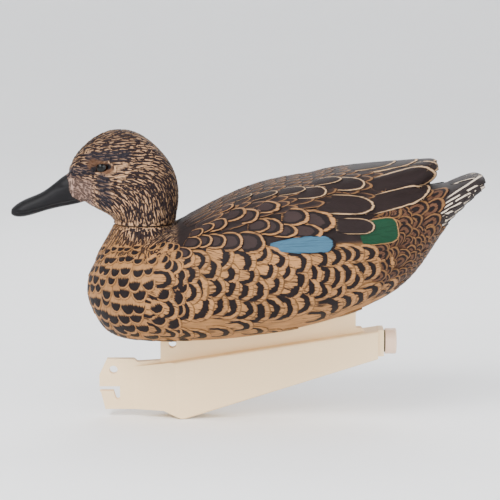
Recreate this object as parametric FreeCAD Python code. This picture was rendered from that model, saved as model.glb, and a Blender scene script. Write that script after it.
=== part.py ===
import FreeCAD, Part
import math
import os

from FreeCAD import Vector

# Floating duck decoy, a hen teal, on a ballasted keel.
#
# Frame: +X towards the bill, +Y to the duck's left side, +Z up.
# Origin: on the centre plane at the waterline, amidships.
# The duck is a hollow moulded body, with a separate hollow head that turns on a spigot in
# the neck, and a hollow keel full of sand that is screwed to the bottom of the hull and
# shut by a screw plug at its rear end.

# ---- driving dimensions, in millimetres and degrees ----

SKIN = 2.0                    # wall of the moulded body and head
RUN_GAP = 0.3                 # gap between surfaces that pass each other in the open
FIT_GAP = 0.05                # radial clearance of the turning and sliding fits
SEAT_GAP = 0.1                # clearance around pieces that are seated for good

# Hull bottom: a circular arc that rises towards the tail, and the keel is seated on it.
HULL_LOW_X = 52.0             # where the bottom is lowest
HULL_LOW_Z = -9.0
HULL_RADIUS = 390.0

# Body sections: station, top, half width, height of the widest point. Their bottoms follow
# the hull arc, apart from those of the breast and the tail, which are given below.
BREAST_SECTIONS = [
    # x, bottom, top, half width, widest z
    (111.5, 20.0, 33.0, 6.0, 26.0),
    (106.5, 8.0, 43.0, 19.0, 26.0),
    (98.0, -2.5, 53.5, 32.0, 26.0),
    (85.0, -7.5, 61.0, 44.5, 27.0),
]
HULL_SECTIONS = [
    # x, top, half width, widest z
    (65.0, 66.0, 53.0, 28.5),
    (40.0, 77.0, 58.5, 31.5),
    (10.0, 91.5, 61.5, 36.5),
    (-20.0, 100.5, 61.5, 42.0),
    (-50.0, 104.5, 57.5, 50.0),
]
TAIL_SECTIONS = [
    # x, bottom, top, half width, widest z
    (-80.0, 15.5, 103.5, 48.5, 60.0),
    (-103.0, 30.5, 99.0, 39.0, 70.5),
    (-120.0, 52.0, 96.5, 30.5, 80.0),
    (-134.0, 72.5, 98.0, 25.0, 88.5),
    (-146.0, 85.0, 102.5, 22.0, 94.5),
    (-156.5, 95.5, 101.0, 15.0, 99.0),
]
CAVITY_REAR_X = -134.0        # the moulding is solid behind this station

# Folded wings: one raised form over the rump, which ends in the crossed wing tips.
WING_SECTIONS = [
    # x, bottom, top, half width, widest z
    (-30.0, 70.0, 99.0, 38.0, 82.0),
    (-60.0, 76.0, 108.0, 40.0, 88.0),
    (-90.0, 84.0, 110.5, 31.0, 94.0),
    (-112.0, 94.0, 112.0, 20.0, 102.0),
    (-124.5, 105.5, 112.3, 6.5, 109.0),
]

# Neck joint
NECK_X = 73.5                 # axis of the neck joint
NECK_SEAM_Z = 70.0
NECK_RADIUS = 20.9
STUMP_SECTIONS = [
    # below the seam: depth, growth to the rear, to the front and to each side
    (7.0, 1.0, 2.6, 2.6),
    (14.0, 3.0, 6.6, 8.0),
    (22.0, 5.0, 10.6, 15.0),
    (30.0, 5.0, 13.0, 21.0),
]
CREASE_WIDTH = 3.6            # room for the turning head, cut into the mantle
CREASE_DEPTH = 7.0
SOCKET_DEPTH = 17.0
SPIGOT_RADIUS = 12.0
SPIGOT_DISC = 6.0             # height of the disc that is glued in the head
GROOVE_DEPTH = 1.5
RING_THICKNESS = 2.4
CLIP_THICKNESS = 1.2
CLIP_WIDTH = 3.5
SPIGOT_END = 3.0              # length of spigot past the clip

# Head sections, one above another: height, rear, front, half width
HEAD_SECTIONS = [
    (76.0, 51.8, 96.3, 20.4),
    (83.0, 50.6, 109.5, 19.6),
    (90.0, 50.2, 118.0, 19.8),
    (98.0, 51.0, 123.0, 19.8),
    (106.0, 53.4, 124.0, 18.6),
    (114.0, 58.0, 120.6, 17.0),
    (121.0, 64.0, 115.2, 14.6),
    (127.0, 70.8, 108.4, 11.2),
    (131.2, 77.8, 101.0, 7.4),
    (133.4, 86.0, 94.0, 3.0),
]
HEAD_EGG = 0.22               # how much narrower the head is in front than behind
HEAD_CAVITY_TOP = 121.0       # last head section that is hollow

# Bill sections, from the face to the tip: x, bottom, top, half width, widest z
BILL_SECTIONS = [
    (112.0, 85.5, 103.0, 7.5, 93.0),
    (125.0, 82.2, 104.0, 8.2, 89.5),
    (134.0, 80.4, 97.4, 8.2, 86.5),
    (144.0, 77.6, 90.6, 8.6, 82.6),
    (154.0, 74.9, 86.4, 9.2, 79.6),
    (160.5, 74.8, 82.6, 7.6, 78.2),
    (163.4, 76.2, 79.8, 4.2, 77.8),
]

# Eyes
EYE_X = 101.1
EYE_Z = 109.0
EYE_RADIUS = 4.2
EYE_PROUD = 0.9               # how far the eye stands out of the head
EYE_LENGTH = 5.0
EYE_DOME_RADIUS = 6.5

# Keel, side view
KEEL_WIDTH = 24.0
PLATE_THICKNESS = 6.0
WEB_THICKNESS = 7.0
KEEL_WALL = 2.4
KEEL_CORNER = 1.6             # rounding of the chamber's long edges
PLATE_FRONT_X = 104.6
PLATE_TOP_Z = -23.3
PLATE_BOTTOM_Z = -58.2
PLATE_CHAMFER = (5.2, 11.0)
PLATE_TOE = 4.0               # how far the front edge leans back below the slot
PLATE_LIP = 1.0               # chamfer of the corner below the slot
PLATE_DIP = (2.5, 2.0)        # step down in the top edge behind the plate's front part
PLATE_REAR_X = 46.0
CHAMBER_NOSE_X = 81.0         # where the plate begins to swell
CHAMBER_FULL_X = 52.0         # where the chamber has its full width
CHAMBER_REAR_X = -85.8
SHOULDER_FRONT_Z = -28.6      # ledge beside the web
SHOULDER_REAR_Z = -2.6
KEEL_HEEL = (44.5, -63.2)     # rear end of the keel's lowest stretch
KEEL_HEEL_FLAT = 4.0
KEEL_RAMP_X = 60.5            # where the heel runs up to the plate's bottom edge
KEEL_REAR_BOTTOM_Z = -22.0
WEB_FRONT_X = 62.7
WEB_REAR_X = -70.8
WEB_HUMP = (7.5, 3.5)         # length and height of the gusset behind the web

# Keel flange and its screws
FLANGE_HALF_WIDTH = 14.0
FLANGE_THICKNESS = 3.0
GASKET_THICKNESS = 1.0
PAD_THICKNESS = 2.6
SCREW_RADIUS = 2.0
SCREW_HEAD_RADIUS = 3.9
SCREW_HEAD_HEIGHT = 2.2
SCREW_LENGTH = 12.0
SCREW_SUNK = 0.2              # depth of the screw heads below the flange's face
SCREW_OFFSET_Y = 8.6
SCREW_ROWS = (50.0, -60.0)
INSERT_RADIUS = 3.2
INSERT_LENGTH = 9.0
BOSS_RADIUS = 5.4

# Line fittings of the keel
LINE_HOLE = (95.0, -30.9)
LINE_HOLE_RADIUS = 2.9
WEB_HOLE = (54.5, -12.9)
WEB_HOLE_RADIUS = 2.7
SLOT_WIDTH = 3.2
SLOT_Z = -44.0
SLOT_END_X = 92.2
SLOT_HOOK = 6.0
SLOT_LEAD = 1.4               # how far the tab's inner edge leans

# Screw plug at the rear of the keel
PLUG_Z = -11.2
COLLAR_LENGTH = 4.0
COLLAR_HALF_WIDTH = 9.6
COLLAR_HEIGHT = 18.0
PLUG_BORE_RADIUS = 6.0
PLUG_SHANK_LENGTH = 12.0
PLUG_HEAD_RADIUS = 8.8
PLUG_HEAD_LENGTH = 7.6
PLUG_HEAD_ROUND = 1.0
SEAL_THICKNESS = 1.2
SEAL_WIDTH = 1.6
COIN_SLOT_WIDTH = 2.4
COIN_SLOT_DEPTH = 2.5

SAND_LEVEL_GAP = 3.0          # air left above the sand in the keel

# ---- values worked out from the driving dimensions ----

SECTION_POINTS = 16           # points around each lofted section
SECTION_FULLNESS = 2.35       # 2 is an ellipse, more is squarer
PLATE_HALF = PLATE_THICKNESS / 2
KEEL_HALF = KEEL_WIDTH / 2
WEB_HALF = WEB_THICKNESS / 2
SOCKET_RADIUS = NECK_RADIUS - SKIN
BORE_RADIUS = SPIGOT_RADIUS + FIT_GAP
SOCKET_BOTTOM_Z = NECK_SEAM_Z - SOCKET_DEPTH
CLIP_Z = SOCKET_BOTTOM_Z - RUN_GAP - CLIP_THICKNESS
SPIGOT_BOTTOM_Z = CLIP_Z - SPIGOT_END
PLUG_FACE_X = CHAMBER_REAR_X - COLLAR_LENGTH
PLUG_SHANK_RADIUS = PLUG_BORE_RADIUS - FIT_GAP
Y_AXIS = Vector(0, 1, 0)
Z_AXIS = Vector(0, 0, 1)
REARWARD = Vector(-1, 0, 0)


def hull_z(x):
    """Height of the hull's bottom at a station."""
    return HULL_LOW_Z + HULL_RADIUS - math.sqrt(HULL_RADIUS**2 - (x - HULL_LOW_X) ** 2)


def signed_power(value, power):
    return math.copysign(abs(value) ** power, value)


def closed_curve(points):
    curve = Part.BSplineCurve()
    curve.interpolate(Points=points, PeriodicFlag=True)
    return Part.Wire([curve.toShape()])


def cross_section(x, bottom, top, half_width, widest_z, inset=0.0):
    """Upright oval at a station, widest at widest_z."""
    points = []
    power = 2 / SECTION_FULLNESS
    for k in range(SECTION_POINTS):
        angle = 2 * math.pi * k / SECTION_POINTS
        y = (half_width - inset) * signed_power(math.cos(angle), power)
        reach = top - widest_z if math.sin(angle) >= 0 else widest_z - bottom
        z = widest_z + (reach - inset) * signed_power(math.sin(angle), power)
        points.append(Vector(x, y, z))
    return closed_curve(points)


def level_section(z, rear, front, half_width, egg, inset=0.0):
    """Level oval at a height, narrower towards its front by egg."""
    points = []
    middle = (rear + front) / 2
    half_length = (front - rear) / 2 - inset
    for k in range(SECTION_POINTS):
        angle = 2 * math.pi * k / SECTION_POINTS
        x = middle + half_length * math.cos(angle)
        narrowing = 1 - egg * (1 + math.cos(angle)) / 2
        y = (half_width - inset) * math.sin(angle) * narrowing
        points.append(Vector(x, y, z))
    return closed_curve(points)


def loft(wires):
    return Part.makeLoft(wires, True, False)


def disc(radius, length, start, direction):
    return Part.makeCylinder(radius, length, start, direction)


def ring(outer, inner, length, start, direction):
    return disc(outer, length, start, direction).cut(disc(inner, length, start, direction))


def side_profile(points, half_width, inset=0.0):
    """Solid from an outline in the X-Z plane, thick by half_width to each side."""
    corners = [Vector(x, -half_width, z) for x, z in points]
    face = Part.Face(Part.makePolygon(corners + corners[:1]))
    if inset:
        face = face.makeOffset2D(-inset, 2)
    return face.extrude(Vector(0, 2 * half_width, 0))


def hull_band(low, high, half_width, front_x, rear_x):
    """Solid that follows the hull's arc, between two heights above it."""
    def arc(rise):
        stations = (front_x, (front_x + rear_x) / 2, rear_x)
        points = [Vector(x, -half_width, hull_z(x) + rise) for x in stations]
        return Part.Arc(*points).toShape()

    lower = arc(low)
    upper = arc(high)
    ends = [
        Part.makeLine(lower.Vertexes[0].Point, upper.Vertexes[0].Point),
        Part.makeLine(lower.Vertexes[1].Point, upper.Vertexes[1].Point),
    ]
    face = Part.Face(Part.Wire(Part.__sortEdges__([lower, upper] + ends)))
    return face.extrude(Vector(0, 2 * half_width, 0))


# ---- body ----

def body_sections(inset, rear_limit):
    rows = list(BREAST_SECTIONS)
    rows += [(x, hull_z(x), top, half_width, widest) for x, top, half_width, widest in HULL_SECTIONS]
    rows += TAIL_SECTIONS
    return [cross_section(*row, inset=inset) for row in rows if row[0] >= rear_limit]


def neck_stump():
    """Base of the neck, round at the seam and flowing out over the breast."""
    rear = NECK_X - NECK_RADIUS
    front = NECK_X + NECK_RADIUS
    wires = [level_section(NECK_SEAM_Z, rear, front, NECK_RADIUS, 0.0)]
    for depth, rearward, forward, sideways in STUMP_SECTIONS:
        wires.append(level_section(NECK_SEAM_Z - depth, rear - rearward, front + forward,
                                   NECK_RADIUS + sideways, 0.0))
    return loft(wires)


def crease(skin):
    """Cylinder around the neck, drawn out by skin, where the head needs room to turn."""
    start = Vector(NECK_X, 0, NECK_SEAM_Z - CREASE_DEPTH - skin)
    return disc(NECK_RADIUS + CREASE_WIDTH + skin, HEAD_SECTIONS[-1][0] - NECK_SEAM_Z, start, Z_AXIS)


def make_body_shell():
    outer = loft(body_sections(0.0, TAIL_SECTIONS[-1][0]))
    outer = outer.fuse(loft([cross_section(*row) for row in WING_SECTIONS]))
    outer = outer.cut(crease(0.0)).fuse(neck_stump())
    inner = loft(body_sections(SKIN, CAVITY_REAR_X)[1:]).cut(crease(SKIN))
    pad_rise = FLANGE_THICKNESS + GASKET_THICKNESS + PAD_THICKNESS
    pad = hull_band(-SKIN, pad_rise, FLANGE_HALF_WIDTH + PAD_THICKNESS,
                    WEB_FRONT_X + PAD_THICKNESS, WEB_REAR_X - PAD_THICKNESS)
    inner = inner.cut(pad)
    for place in screw_places():
        boss = disc(BOSS_RADIUS, pad_rise + INSERT_LENGTH, Vector(0, 0, 0), Z_AXIS)
        inner = inner.cut(placed(boss, place))
    collar = disc(SOCKET_RADIUS + SKIN, SOCKET_DEPTH, Vector(NECK_X, 0, SOCKET_BOTTOM_Z), Z_AXIS)
    inner = inner.cut(collar)
    shell = outer.cut(inner)
    throat = disc(SOCKET_RADIUS, SOCKET_DEPTH, Vector(NECK_X, 0, SOCKET_BOTTOM_Z), Z_AXIS)
    shell = shell.cut(throat)
    recess_depth = FLANGE_THICKNESS + GASKET_THICKNESS
    recess = hull_band(-SKIN, recess_depth, FLANGE_HALF_WIDTH + SEAT_GAP,
                       WEB_FRONT_X + SEAT_GAP, WEB_REAR_X - SEAT_GAP)
    shell = shell.cut(recess)
    for place in screw_places():
        start = Vector(0, 0, recess_depth - GASKET_THICKNESS)
        pocket = disc(INSERT_RADIUS, INSERT_LENGTH + GASKET_THICKNESS, start, Z_AXIS)
        shell = shell.cut(placed(pocket, place))
    return shell


def make_neck_socket():
    start = Vector(NECK_X, 0, SOCKET_BOTTOM_Z)
    return ring(SOCKET_RADIUS, BORE_RADIUS, SOCKET_DEPTH, start, Z_AXIS)


# ---- head ----

def head_section(row, inset=0.0):
    """Level section of the head, round at the neck and narrower in front higher up."""
    share = (row[0] - NECK_SEAM_Z) / (HEAD_SECTIONS[-1][0] - NECK_SEAM_Z)
    return level_section(*row, HEAD_EGG * min(1.0, 2 * share), inset)


def head_solid():
    seam = (NECK_SEAM_Z + RUN_GAP, NECK_X - NECK_RADIUS, NECK_X + NECK_RADIUS, NECK_RADIUS)
    return loft([level_section(*seam, 0.0)] + [head_section(row) for row in HEAD_SECTIONS])


def head_cavity():
    return loft([head_section(row, SKIN) for row in HEAD_SECTIONS if row[0] <= HEAD_CAVITY_TOP])


def head_half_width(x, z):
    """Half width of the head at a point, between the two sections beside its height."""
    for low, high in zip(HEAD_SECTIONS, HEAD_SECTIONS[1:]):
        if low[0] <= z <= high[0]:
            share = (z - low[0]) / (high[0] - low[0])
            rear, front, half_width = [a + share * (b - a) for a, b in zip(low[1:], high[1:])]
    along = (2 * x - rear - front) / (front - rear)
    return half_width * math.sqrt(1 - along**2) * (1 - HEAD_EGG * (1 + along) / 2)


def eye_solid(side):
    """Short glass rod with a domed face, set in a hole through the head's wall."""
    face_y = head_half_width(EYE_X, EYE_Z) + EYE_PROUD
    rod = disc(EYE_RADIUS, EYE_LENGTH, Vector(EYE_X, face_y - EYE_LENGTH, EYE_Z), Y_AXIS)
    dome = Part.makeSphere(EYE_DOME_RADIUS, Vector(EYE_X, face_y - EYE_DOME_RADIUS, EYE_Z))
    eye = rod.common(dome)
    if side < 0:
        eye = eye.mirror(Vector(0, 0, 0), Y_AXIS)
    return eye


def make_head_shell():
    outer = head_solid().fuse(loft([cross_section(*row) for row in BILL_SECTIONS]))
    shell = outer.cut(head_cavity())
    mouth = disc(SOCKET_RADIUS, SPIGOT_DISC, Vector(NECK_X, 0, NECK_SEAM_Z + RUN_GAP), Z_AXIS)
    shell = shell.cut(mouth)
    across = 2 * head_half_width(EYE_X, EYE_Z) + 2 * EYE_LENGTH
    sockets = disc(EYE_RADIUS + SEAT_GAP, across, Vector(EYE_X, -across / 2, EYE_Z), Y_AXIS)
    return shell.cut(sockets)


def make_neck_spigot():
    disc_start = Vector(NECK_X, 0, NECK_SEAM_Z + RUN_GAP)
    spigot = disc(SOCKET_RADIUS, SPIGOT_DISC, disc_start, Z_AXIS)
    shaft_start = Vector(NECK_X, 0, SPIGOT_BOTTOM_Z)
    shaft_length = NECK_SEAM_Z + RUN_GAP - SPIGOT_BOTTOM_Z
    spigot = spigot.fuse(disc(SPIGOT_RADIUS, shaft_length, shaft_start, Z_AXIS))
    groove_radius = SPIGOT_RADIUS - GROOVE_DEPTH
    for z, height in ((friction_ring_z(), RING_THICKNESS), (CLIP_Z, CLIP_THICKNESS)):
        groove = ring(SPIGOT_RADIUS + 1, groove_radius, height, Vector(NECK_X, 0, z), Z_AXIS)
        spigot = spigot.cut(groove)
    return spigot


def friction_ring_z():
    return NECK_SEAM_Z - (SOCKET_DEPTH + RING_THICKNESS) / 2


def make_friction_ring():
    start = Vector(NECK_X, 0, friction_ring_z())
    return ring(SPIGOT_RADIUS, SPIGOT_RADIUS - GROOVE_DEPTH, RING_THICKNESS, start, Z_AXIS)


def make_retaining_clip():
    """Spring ring with a gap, snapped into the spigot's lower groove."""
    start = Vector(NECK_X, 0, CLIP_Z)
    inner = SPIGOT_RADIUS - GROOVE_DEPTH
    clip = ring(inner + CLIP_WIDTH, inner, CLIP_THICKNESS, start, Z_AXIS)
    gap = Part.makeBox(inner + CLIP_WIDTH, inner, CLIP_THICKNESS, start - Vector(0, inner / 2, 0))
    return clip.cut(gap)


# ---- keel ----

def shoulder_z(x):
    share = (CHAMBER_NOSE_X - x) / (CHAMBER_NOSE_X - CHAMBER_REAR_X)
    return SHOULDER_FRONT_Z + share * (SHOULDER_REAR_Z - SHOULDER_FRONT_Z)


def chamber_outline():
    heel_x, heel_z = KEEL_HEEL
    return [
        (CHAMBER_NOSE_X, SHOULDER_FRONT_Z),
        (CHAMBER_REAR_X, SHOULDER_REAR_Z),
        (CHAMBER_REAR_X, KEEL_REAR_BOTTOM_Z),
        (heel_x, heel_z),
        (heel_x + KEEL_HEEL_FLAT, heel_z),
        (KEEL_RAMP_X, PLATE_BOTTOM_Z),
        (CHAMBER_NOSE_X, PLATE_BOTTOM_Z),
    ]


def chamber_plan(inset):
    """Upright prism with the chamber's plan, which narrows to the plate in front."""
    nose = PLATE_HALF - inset
    full = KEEL_HALF - inset
    corners = [
        (CHAMBER_NOSE_X - inset, -nose),
        (CHAMBER_NOSE_X - inset, nose),
        (CHAMBER_FULL_X, full),
        (CHAMBER_REAR_X + inset, full),
        (CHAMBER_REAR_X + inset, -full),
        (CHAMBER_FULL_X, -full),
    ]
    floor_z = KEEL_HEEL[1] - 1
    points = [Vector(x, y, floor_z) for x, y in corners]
    face = Part.Face(Part.makePolygon(points + points[:1]))
    return face.extrude(Vector(0, 0, -floor_z))


def long_edges(solid):
    """The chamber's edges that run from nose to rear."""
    found = []
    for edge in solid.Edges:
        ends = [vertex.Point for vertex in edge.Vertexes]
        if abs(ends[0].x - ends[1].x) > (CHAMBER_FULL_X - CHAMBER_REAR_X) / 2:
            found.append(edge)
    return found


def make_chamber():
    block = side_profile(chamber_outline(), KEEL_HALF).common(chamber_plan(0.0))
    return block.makeFillet(KEEL_CORNER, long_edges(block))


def chamber_cavity(inset):
    side = side_profile(chamber_outline(), KEEL_HALF, inset)
    return side.common(chamber_plan(inset))


def plate_outline():
    chamfer_x, chamfer_z = PLATE_CHAMFER
    dip_x, dip_z = PLATE_DIP
    slot_floor_z = SLOT_Z - SLOT_WIDTH / 2
    return [
        (PLATE_FRONT_X, PLATE_TOP_Z - chamfer_z),
        (PLATE_FRONT_X - chamfer_x, PLATE_TOP_Z),
        (CHAMBER_NOSE_X, PLATE_TOP_Z),
        (CHAMBER_NOSE_X - dip_x, PLATE_TOP_Z - dip_z),
        (PLATE_REAR_X, PLATE_TOP_Z),
        (PLATE_REAR_X, PLATE_BOTTOM_Z),
        (PLATE_FRONT_X - PLATE_TOE, PLATE_BOTTOM_Z),
        (PLATE_FRONT_X - PLATE_LIP, slot_floor_z - PLATE_LIP),
        (PLATE_FRONT_X, slot_floor_z),
    ]


def line_slot():
    """Hooked slot for the anchor line, open at the plate's front edge."""
    half = SLOT_WIDTH / 2
    hook_z = SLOT_Z - SLOT_HOOK
    points = [
        (PLATE_FRONT_X + SLOT_WIDTH, SLOT_Z + half),
        (SLOT_END_X - half, SLOT_Z + half),
        (SLOT_END_X - half, hook_z),
        (SLOT_END_X + half, hook_z),
        (SLOT_END_X + half + SLOT_LEAD, SLOT_Z - half),
        (PLATE_FRONT_X + SLOT_WIDTH, SLOT_Z - half),
    ]
    foot = disc(half, PLATE_THICKNESS, Vector(SLOT_END_X, -PLATE_HALF, hook_z), Y_AXIS)
    return side_profile(points, PLATE_HALF).fuse(foot)


def cross_hole(place, radius):
    x, z = place
    return disc(radius, KEEL_WIDTH, Vector(x, -KEEL_HALF, z), Y_AXIS)


def web_outline():
    top_z = hull_z(WEB_REAR_X) + FLANGE_THICKNESS
    hump_length, hump_height = WEB_HUMP
    return [
        (WEB_FRONT_X, SHOULDER_FRONT_Z - KEEL_WALL),
        (WEB_FRONT_X, top_z),
        (WEB_REAR_X, top_z),
        (WEB_REAR_X, shoulder_z(WEB_REAR_X) + hump_height),
        (WEB_REAR_X - hump_length / 2, shoulder_z(WEB_REAR_X) + hump_height),
        (WEB_REAR_X - hump_length, shoulder_z(WEB_REAR_X - hump_length) - KEEL_CORNER),
    ]


def make_keel_shell():
    flange = hull_band(0.0, FLANGE_THICKNESS, FLANGE_HALF_WIDTH, WEB_FRONT_X, WEB_REAR_X)
    below_flange = hull_band(2 * KEEL_HEEL[1], 0.0, WEB_HALF, WEB_FRONT_X, WEB_REAR_X - WEB_HUMP[0])
    web = side_profile(web_outline(), WEB_HALF).common(below_flange)
    chamber = make_chamber()
    keel = chamber.fuse(side_profile(plate_outline(), PLATE_HALF))
    keel = keel.fuse(web).fuse(flange)
    collar_start = Vector(PLUG_FACE_X, -COLLAR_HALF_WIDTH, PLUG_Z - COLLAR_HEIGHT / 2)
    keel = keel.fuse(Part.makeBox(COLLAR_LENGTH, 2 * COLLAR_HALF_WIDTH, COLLAR_HEIGHT, collar_start))
    keel = keel.cut(chamber_cavity(KEEL_WALL))
    keel = keel.cut(line_slot())
    keel = keel.cut(cross_hole(LINE_HOLE, LINE_HOLE_RADIUS))
    keel = keel.cut(cross_hole(WEB_HOLE, WEB_HOLE_RADIUS))
    bore_start = Vector(PLUG_FACE_X + PLUG_SHANK_LENGTH, 0, PLUG_Z)
    neck = disc(PLUG_BORE_RADIUS + KEEL_WALL, PLUG_SHANK_LENGTH, bore_start, REARWARD)
    keel = keel.fuse(neck.common(chamber))
    keel = keel.cut(disc(PLUG_BORE_RADIUS, PLUG_SHANK_LENGTH, bore_start, REARWARD))
    for place in screw_places():
        keel = keel.cut(placed(screw_form(SEAT_GAP), place))
    return keel


def make_sand():
    """Sand that fills the chamber, clear of the plug's neck and of the top."""
    sand = chamber_cavity(KEEL_WALL + SEAT_GAP)
    level = side_profile([
        (CHAMBER_NOSE_X, shoulder_z(CHAMBER_NOSE_X) - KEEL_WALL - SAND_LEVEL_GAP),
        (CHAMBER_REAR_X, shoulder_z(CHAMBER_REAR_X) - KEEL_WALL - SAND_LEVEL_GAP),
        (CHAMBER_REAR_X, KEEL_HEEL[1]),
        (CHAMBER_NOSE_X, KEEL_HEEL[1]),
    ], KEEL_HALF)
    plug_room = disc(PLUG_BORE_RADIUS + KEEL_WALL + SEAT_GAP, PLUG_SHANK_LENGTH + SEAT_GAP,
                     Vector(PLUG_FACE_X + PLUG_SHANK_LENGTH + SEAT_GAP, 0, PLUG_Z), REARWARD)
    return sand.common(level).cut(plug_room)


# ---- keel fastening ----

def screw_places():
    """Seats of the screws on the hull's arc: station, side and tilt."""
    places = []
    for x in SCREW_ROWS:
        tilt = math.degrees(math.asin((x - HULL_LOW_X) / HULL_RADIUS))
        for side in (1, -1):
            places.append((x, side * SCREW_OFFSET_Y, tilt))
    return places


def placed(shape, place):
    """Turn a shape made about the Z axis square to the hull and move it to its seat."""
    x, y, tilt = place
    moved = shape.copy()
    moved.rotate(Vector(0, 0, 0), Y_AXIS, -tilt)
    moved.translate(Vector(x, y, hull_z(x)))
    return moved


def screw_form(gap):
    """Countersunk screw, drawn out by gap, and open below its head where it is a cutter."""
    shank = SCREW_RADIUS + gap
    head = SCREW_HEAD_RADIUS + gap
    foot = SCREW_SUNK - (2 * SCREW_HEAD_HEIGHT if gap else 0)
    outline = [
        (0, foot),
        (head, foot),
        (head, SCREW_SUNK + gap),
        (shank, SCREW_SUNK + SCREW_HEAD_HEIGHT),
        (shank, SCREW_LENGTH),
        (0, SCREW_LENGTH),
    ]
    if not gap:
        outline.remove((head, SCREW_SUNK + gap))
    corners = [Vector(x, 0, z) for x, z in outline]
    face = Part.Face(Part.makePolygon(corners + corners[:1]))
    return face.revolve(Vector(0, 0, 0), Z_AXIS, 360)


def make_screws():
    screw = screw_form(0.0)
    for turn in (0, 90):
        blade = Part.makeBox(SCREW_HEAD_RADIUS, SCREW_HEAD_HEIGHT / 3, SCREW_HEAD_HEIGHT,
                             Vector(-SCREW_HEAD_RADIUS / 2, -SCREW_HEAD_HEIGHT / 6, -SCREW_HEAD_HEIGHT / 2))
        blade.rotate(Vector(0, 0, 0), Z_AXIS, turn)
        screw = screw.cut(blade)
    return Part.makeCompound([placed(screw, place) for place in screw_places()])


def make_inserts():
    start = Vector(0, 0, FLANGE_THICKNESS + GASKET_THICKNESS)
    insert = ring(INSERT_RADIUS, SCREW_RADIUS, INSERT_LENGTH, start, Z_AXIS)
    lower_space = hull_band(-SKIN, FLANGE_THICKNESS + GASKET_THICKNESS, FLANGE_HALF_WIDTH,
                            WEB_FRONT_X, WEB_REAR_X)
    return Part.makeCompound([placed(insert, place).cut(lower_space) for place in screw_places()])


def make_gasket():
    gasket = hull_band(FLANGE_THICKNESS, FLANGE_THICKNESS + GASKET_THICKNESS, FLANGE_HALF_WIDTH,
                       WEB_FRONT_X, WEB_REAR_X)
    for place in screw_places():
        hole = disc(SCREW_RADIUS + SEAT_GAP, SCREW_LENGTH, Vector(0, 0, 0), Z_AXIS)
        gasket = gasket.cut(placed(hole, place))
    return gasket


# ---- plug ----

def make_plug():
    head_start = Vector(PLUG_FACE_X - SEAL_THICKNESS, 0, PLUG_Z)
    head = disc(PLUG_HEAD_RADIUS, PLUG_HEAD_LENGTH, head_start, REARWARD)
    rim = [edge for edge in head.Edges if abs(edge.BoundBox.XMax - head.BoundBox.XMin) < 1e-6]
    head = head.makeFillet(PLUG_HEAD_ROUND, rim)
    shank_start = Vector(PLUG_FACE_X + PLUG_SHANK_LENGTH, 0, PLUG_Z)
    shank = disc(PLUG_SHANK_RADIUS, PLUG_SHANK_LENGTH + SEAL_THICKNESS, shank_start, REARWARD)
    slot = Part.makeBox(COIN_SLOT_DEPTH, COIN_SLOT_WIDTH, 2 * PLUG_HEAD_RADIUS,
                        Vector(head.BoundBox.XMin, -COIN_SLOT_WIDTH / 2, PLUG_Z - PLUG_HEAD_RADIUS))
    return head.fuse(shank).cut(slot)


def make_seal():
    inner = PLUG_SHANK_RADIUS + FIT_GAP
    return ring(inner + SEAL_WIDTH, inner, SEAL_THICKNESS, Vector(PLUG_FACE_X, 0, PLUG_Z), REARWARD)


# ---- all nodes ----

def make_nodes():
    return {
        "body_shell": make_body_shell(),
        "neck_socket": make_neck_socket(),
        "hull_inserts": make_inserts(),
        "keel_gasket": make_gasket(),
        "keel_screws": make_screws(),
        "keel_shell": make_keel_shell(),
        "sand_ballast": make_sand(),
        "head_shell": make_head_shell(),
        "left_eye": eye_solid(1),
        "right_eye": eye_solid(-1),
        "neck_spigot": make_neck_spigot(),
        "friction_ring": make_friction_ring(),
        "retaining_clip": make_retaining_clip(),
        "keel_plug": make_plug(),
        "plug_seal": make_seal(),
    }


def export(nodes):
    os.makedirs("parts", exist_ok=True)
    for name, shape in nodes.items():
        shape.exportStep(os.path.join("parts", name + ".step"))


export(make_nodes())
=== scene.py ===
import math
import random

import bmesh
import bpy
import numpy as np
from mathutils import Matrix, Vector
from mathutils.bvhtree import BVHTree


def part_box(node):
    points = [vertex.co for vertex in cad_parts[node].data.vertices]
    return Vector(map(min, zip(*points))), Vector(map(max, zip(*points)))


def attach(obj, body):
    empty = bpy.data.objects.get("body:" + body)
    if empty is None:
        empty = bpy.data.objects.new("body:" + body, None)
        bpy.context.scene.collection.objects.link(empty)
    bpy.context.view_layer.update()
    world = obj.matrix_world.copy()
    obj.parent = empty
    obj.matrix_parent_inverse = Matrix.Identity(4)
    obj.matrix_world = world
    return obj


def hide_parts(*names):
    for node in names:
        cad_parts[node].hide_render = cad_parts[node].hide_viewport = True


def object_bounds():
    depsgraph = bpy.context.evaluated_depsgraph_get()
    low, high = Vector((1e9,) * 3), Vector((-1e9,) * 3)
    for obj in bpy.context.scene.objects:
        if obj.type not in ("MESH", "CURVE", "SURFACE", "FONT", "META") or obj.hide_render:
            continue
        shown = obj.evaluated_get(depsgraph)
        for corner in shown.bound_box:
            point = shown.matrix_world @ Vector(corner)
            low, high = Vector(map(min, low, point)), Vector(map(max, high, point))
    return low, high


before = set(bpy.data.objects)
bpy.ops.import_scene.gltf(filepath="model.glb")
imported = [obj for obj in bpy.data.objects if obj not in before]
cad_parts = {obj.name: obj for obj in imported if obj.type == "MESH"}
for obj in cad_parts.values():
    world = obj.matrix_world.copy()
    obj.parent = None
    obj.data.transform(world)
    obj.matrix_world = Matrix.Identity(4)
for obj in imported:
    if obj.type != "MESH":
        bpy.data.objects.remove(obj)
CAD_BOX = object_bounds()

bl_info = {
    "name": "Hen Teal Decoy Looks",
    "version": (1, 0, 0),
    "blender": (4, 5, 0),
    "location": "View3D > Sidebar > Decoy",
    "description": "Carved and painted skin, plumage, bill, eyes and keel of a floating duck decoy",
    "category": "Object",
}

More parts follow.
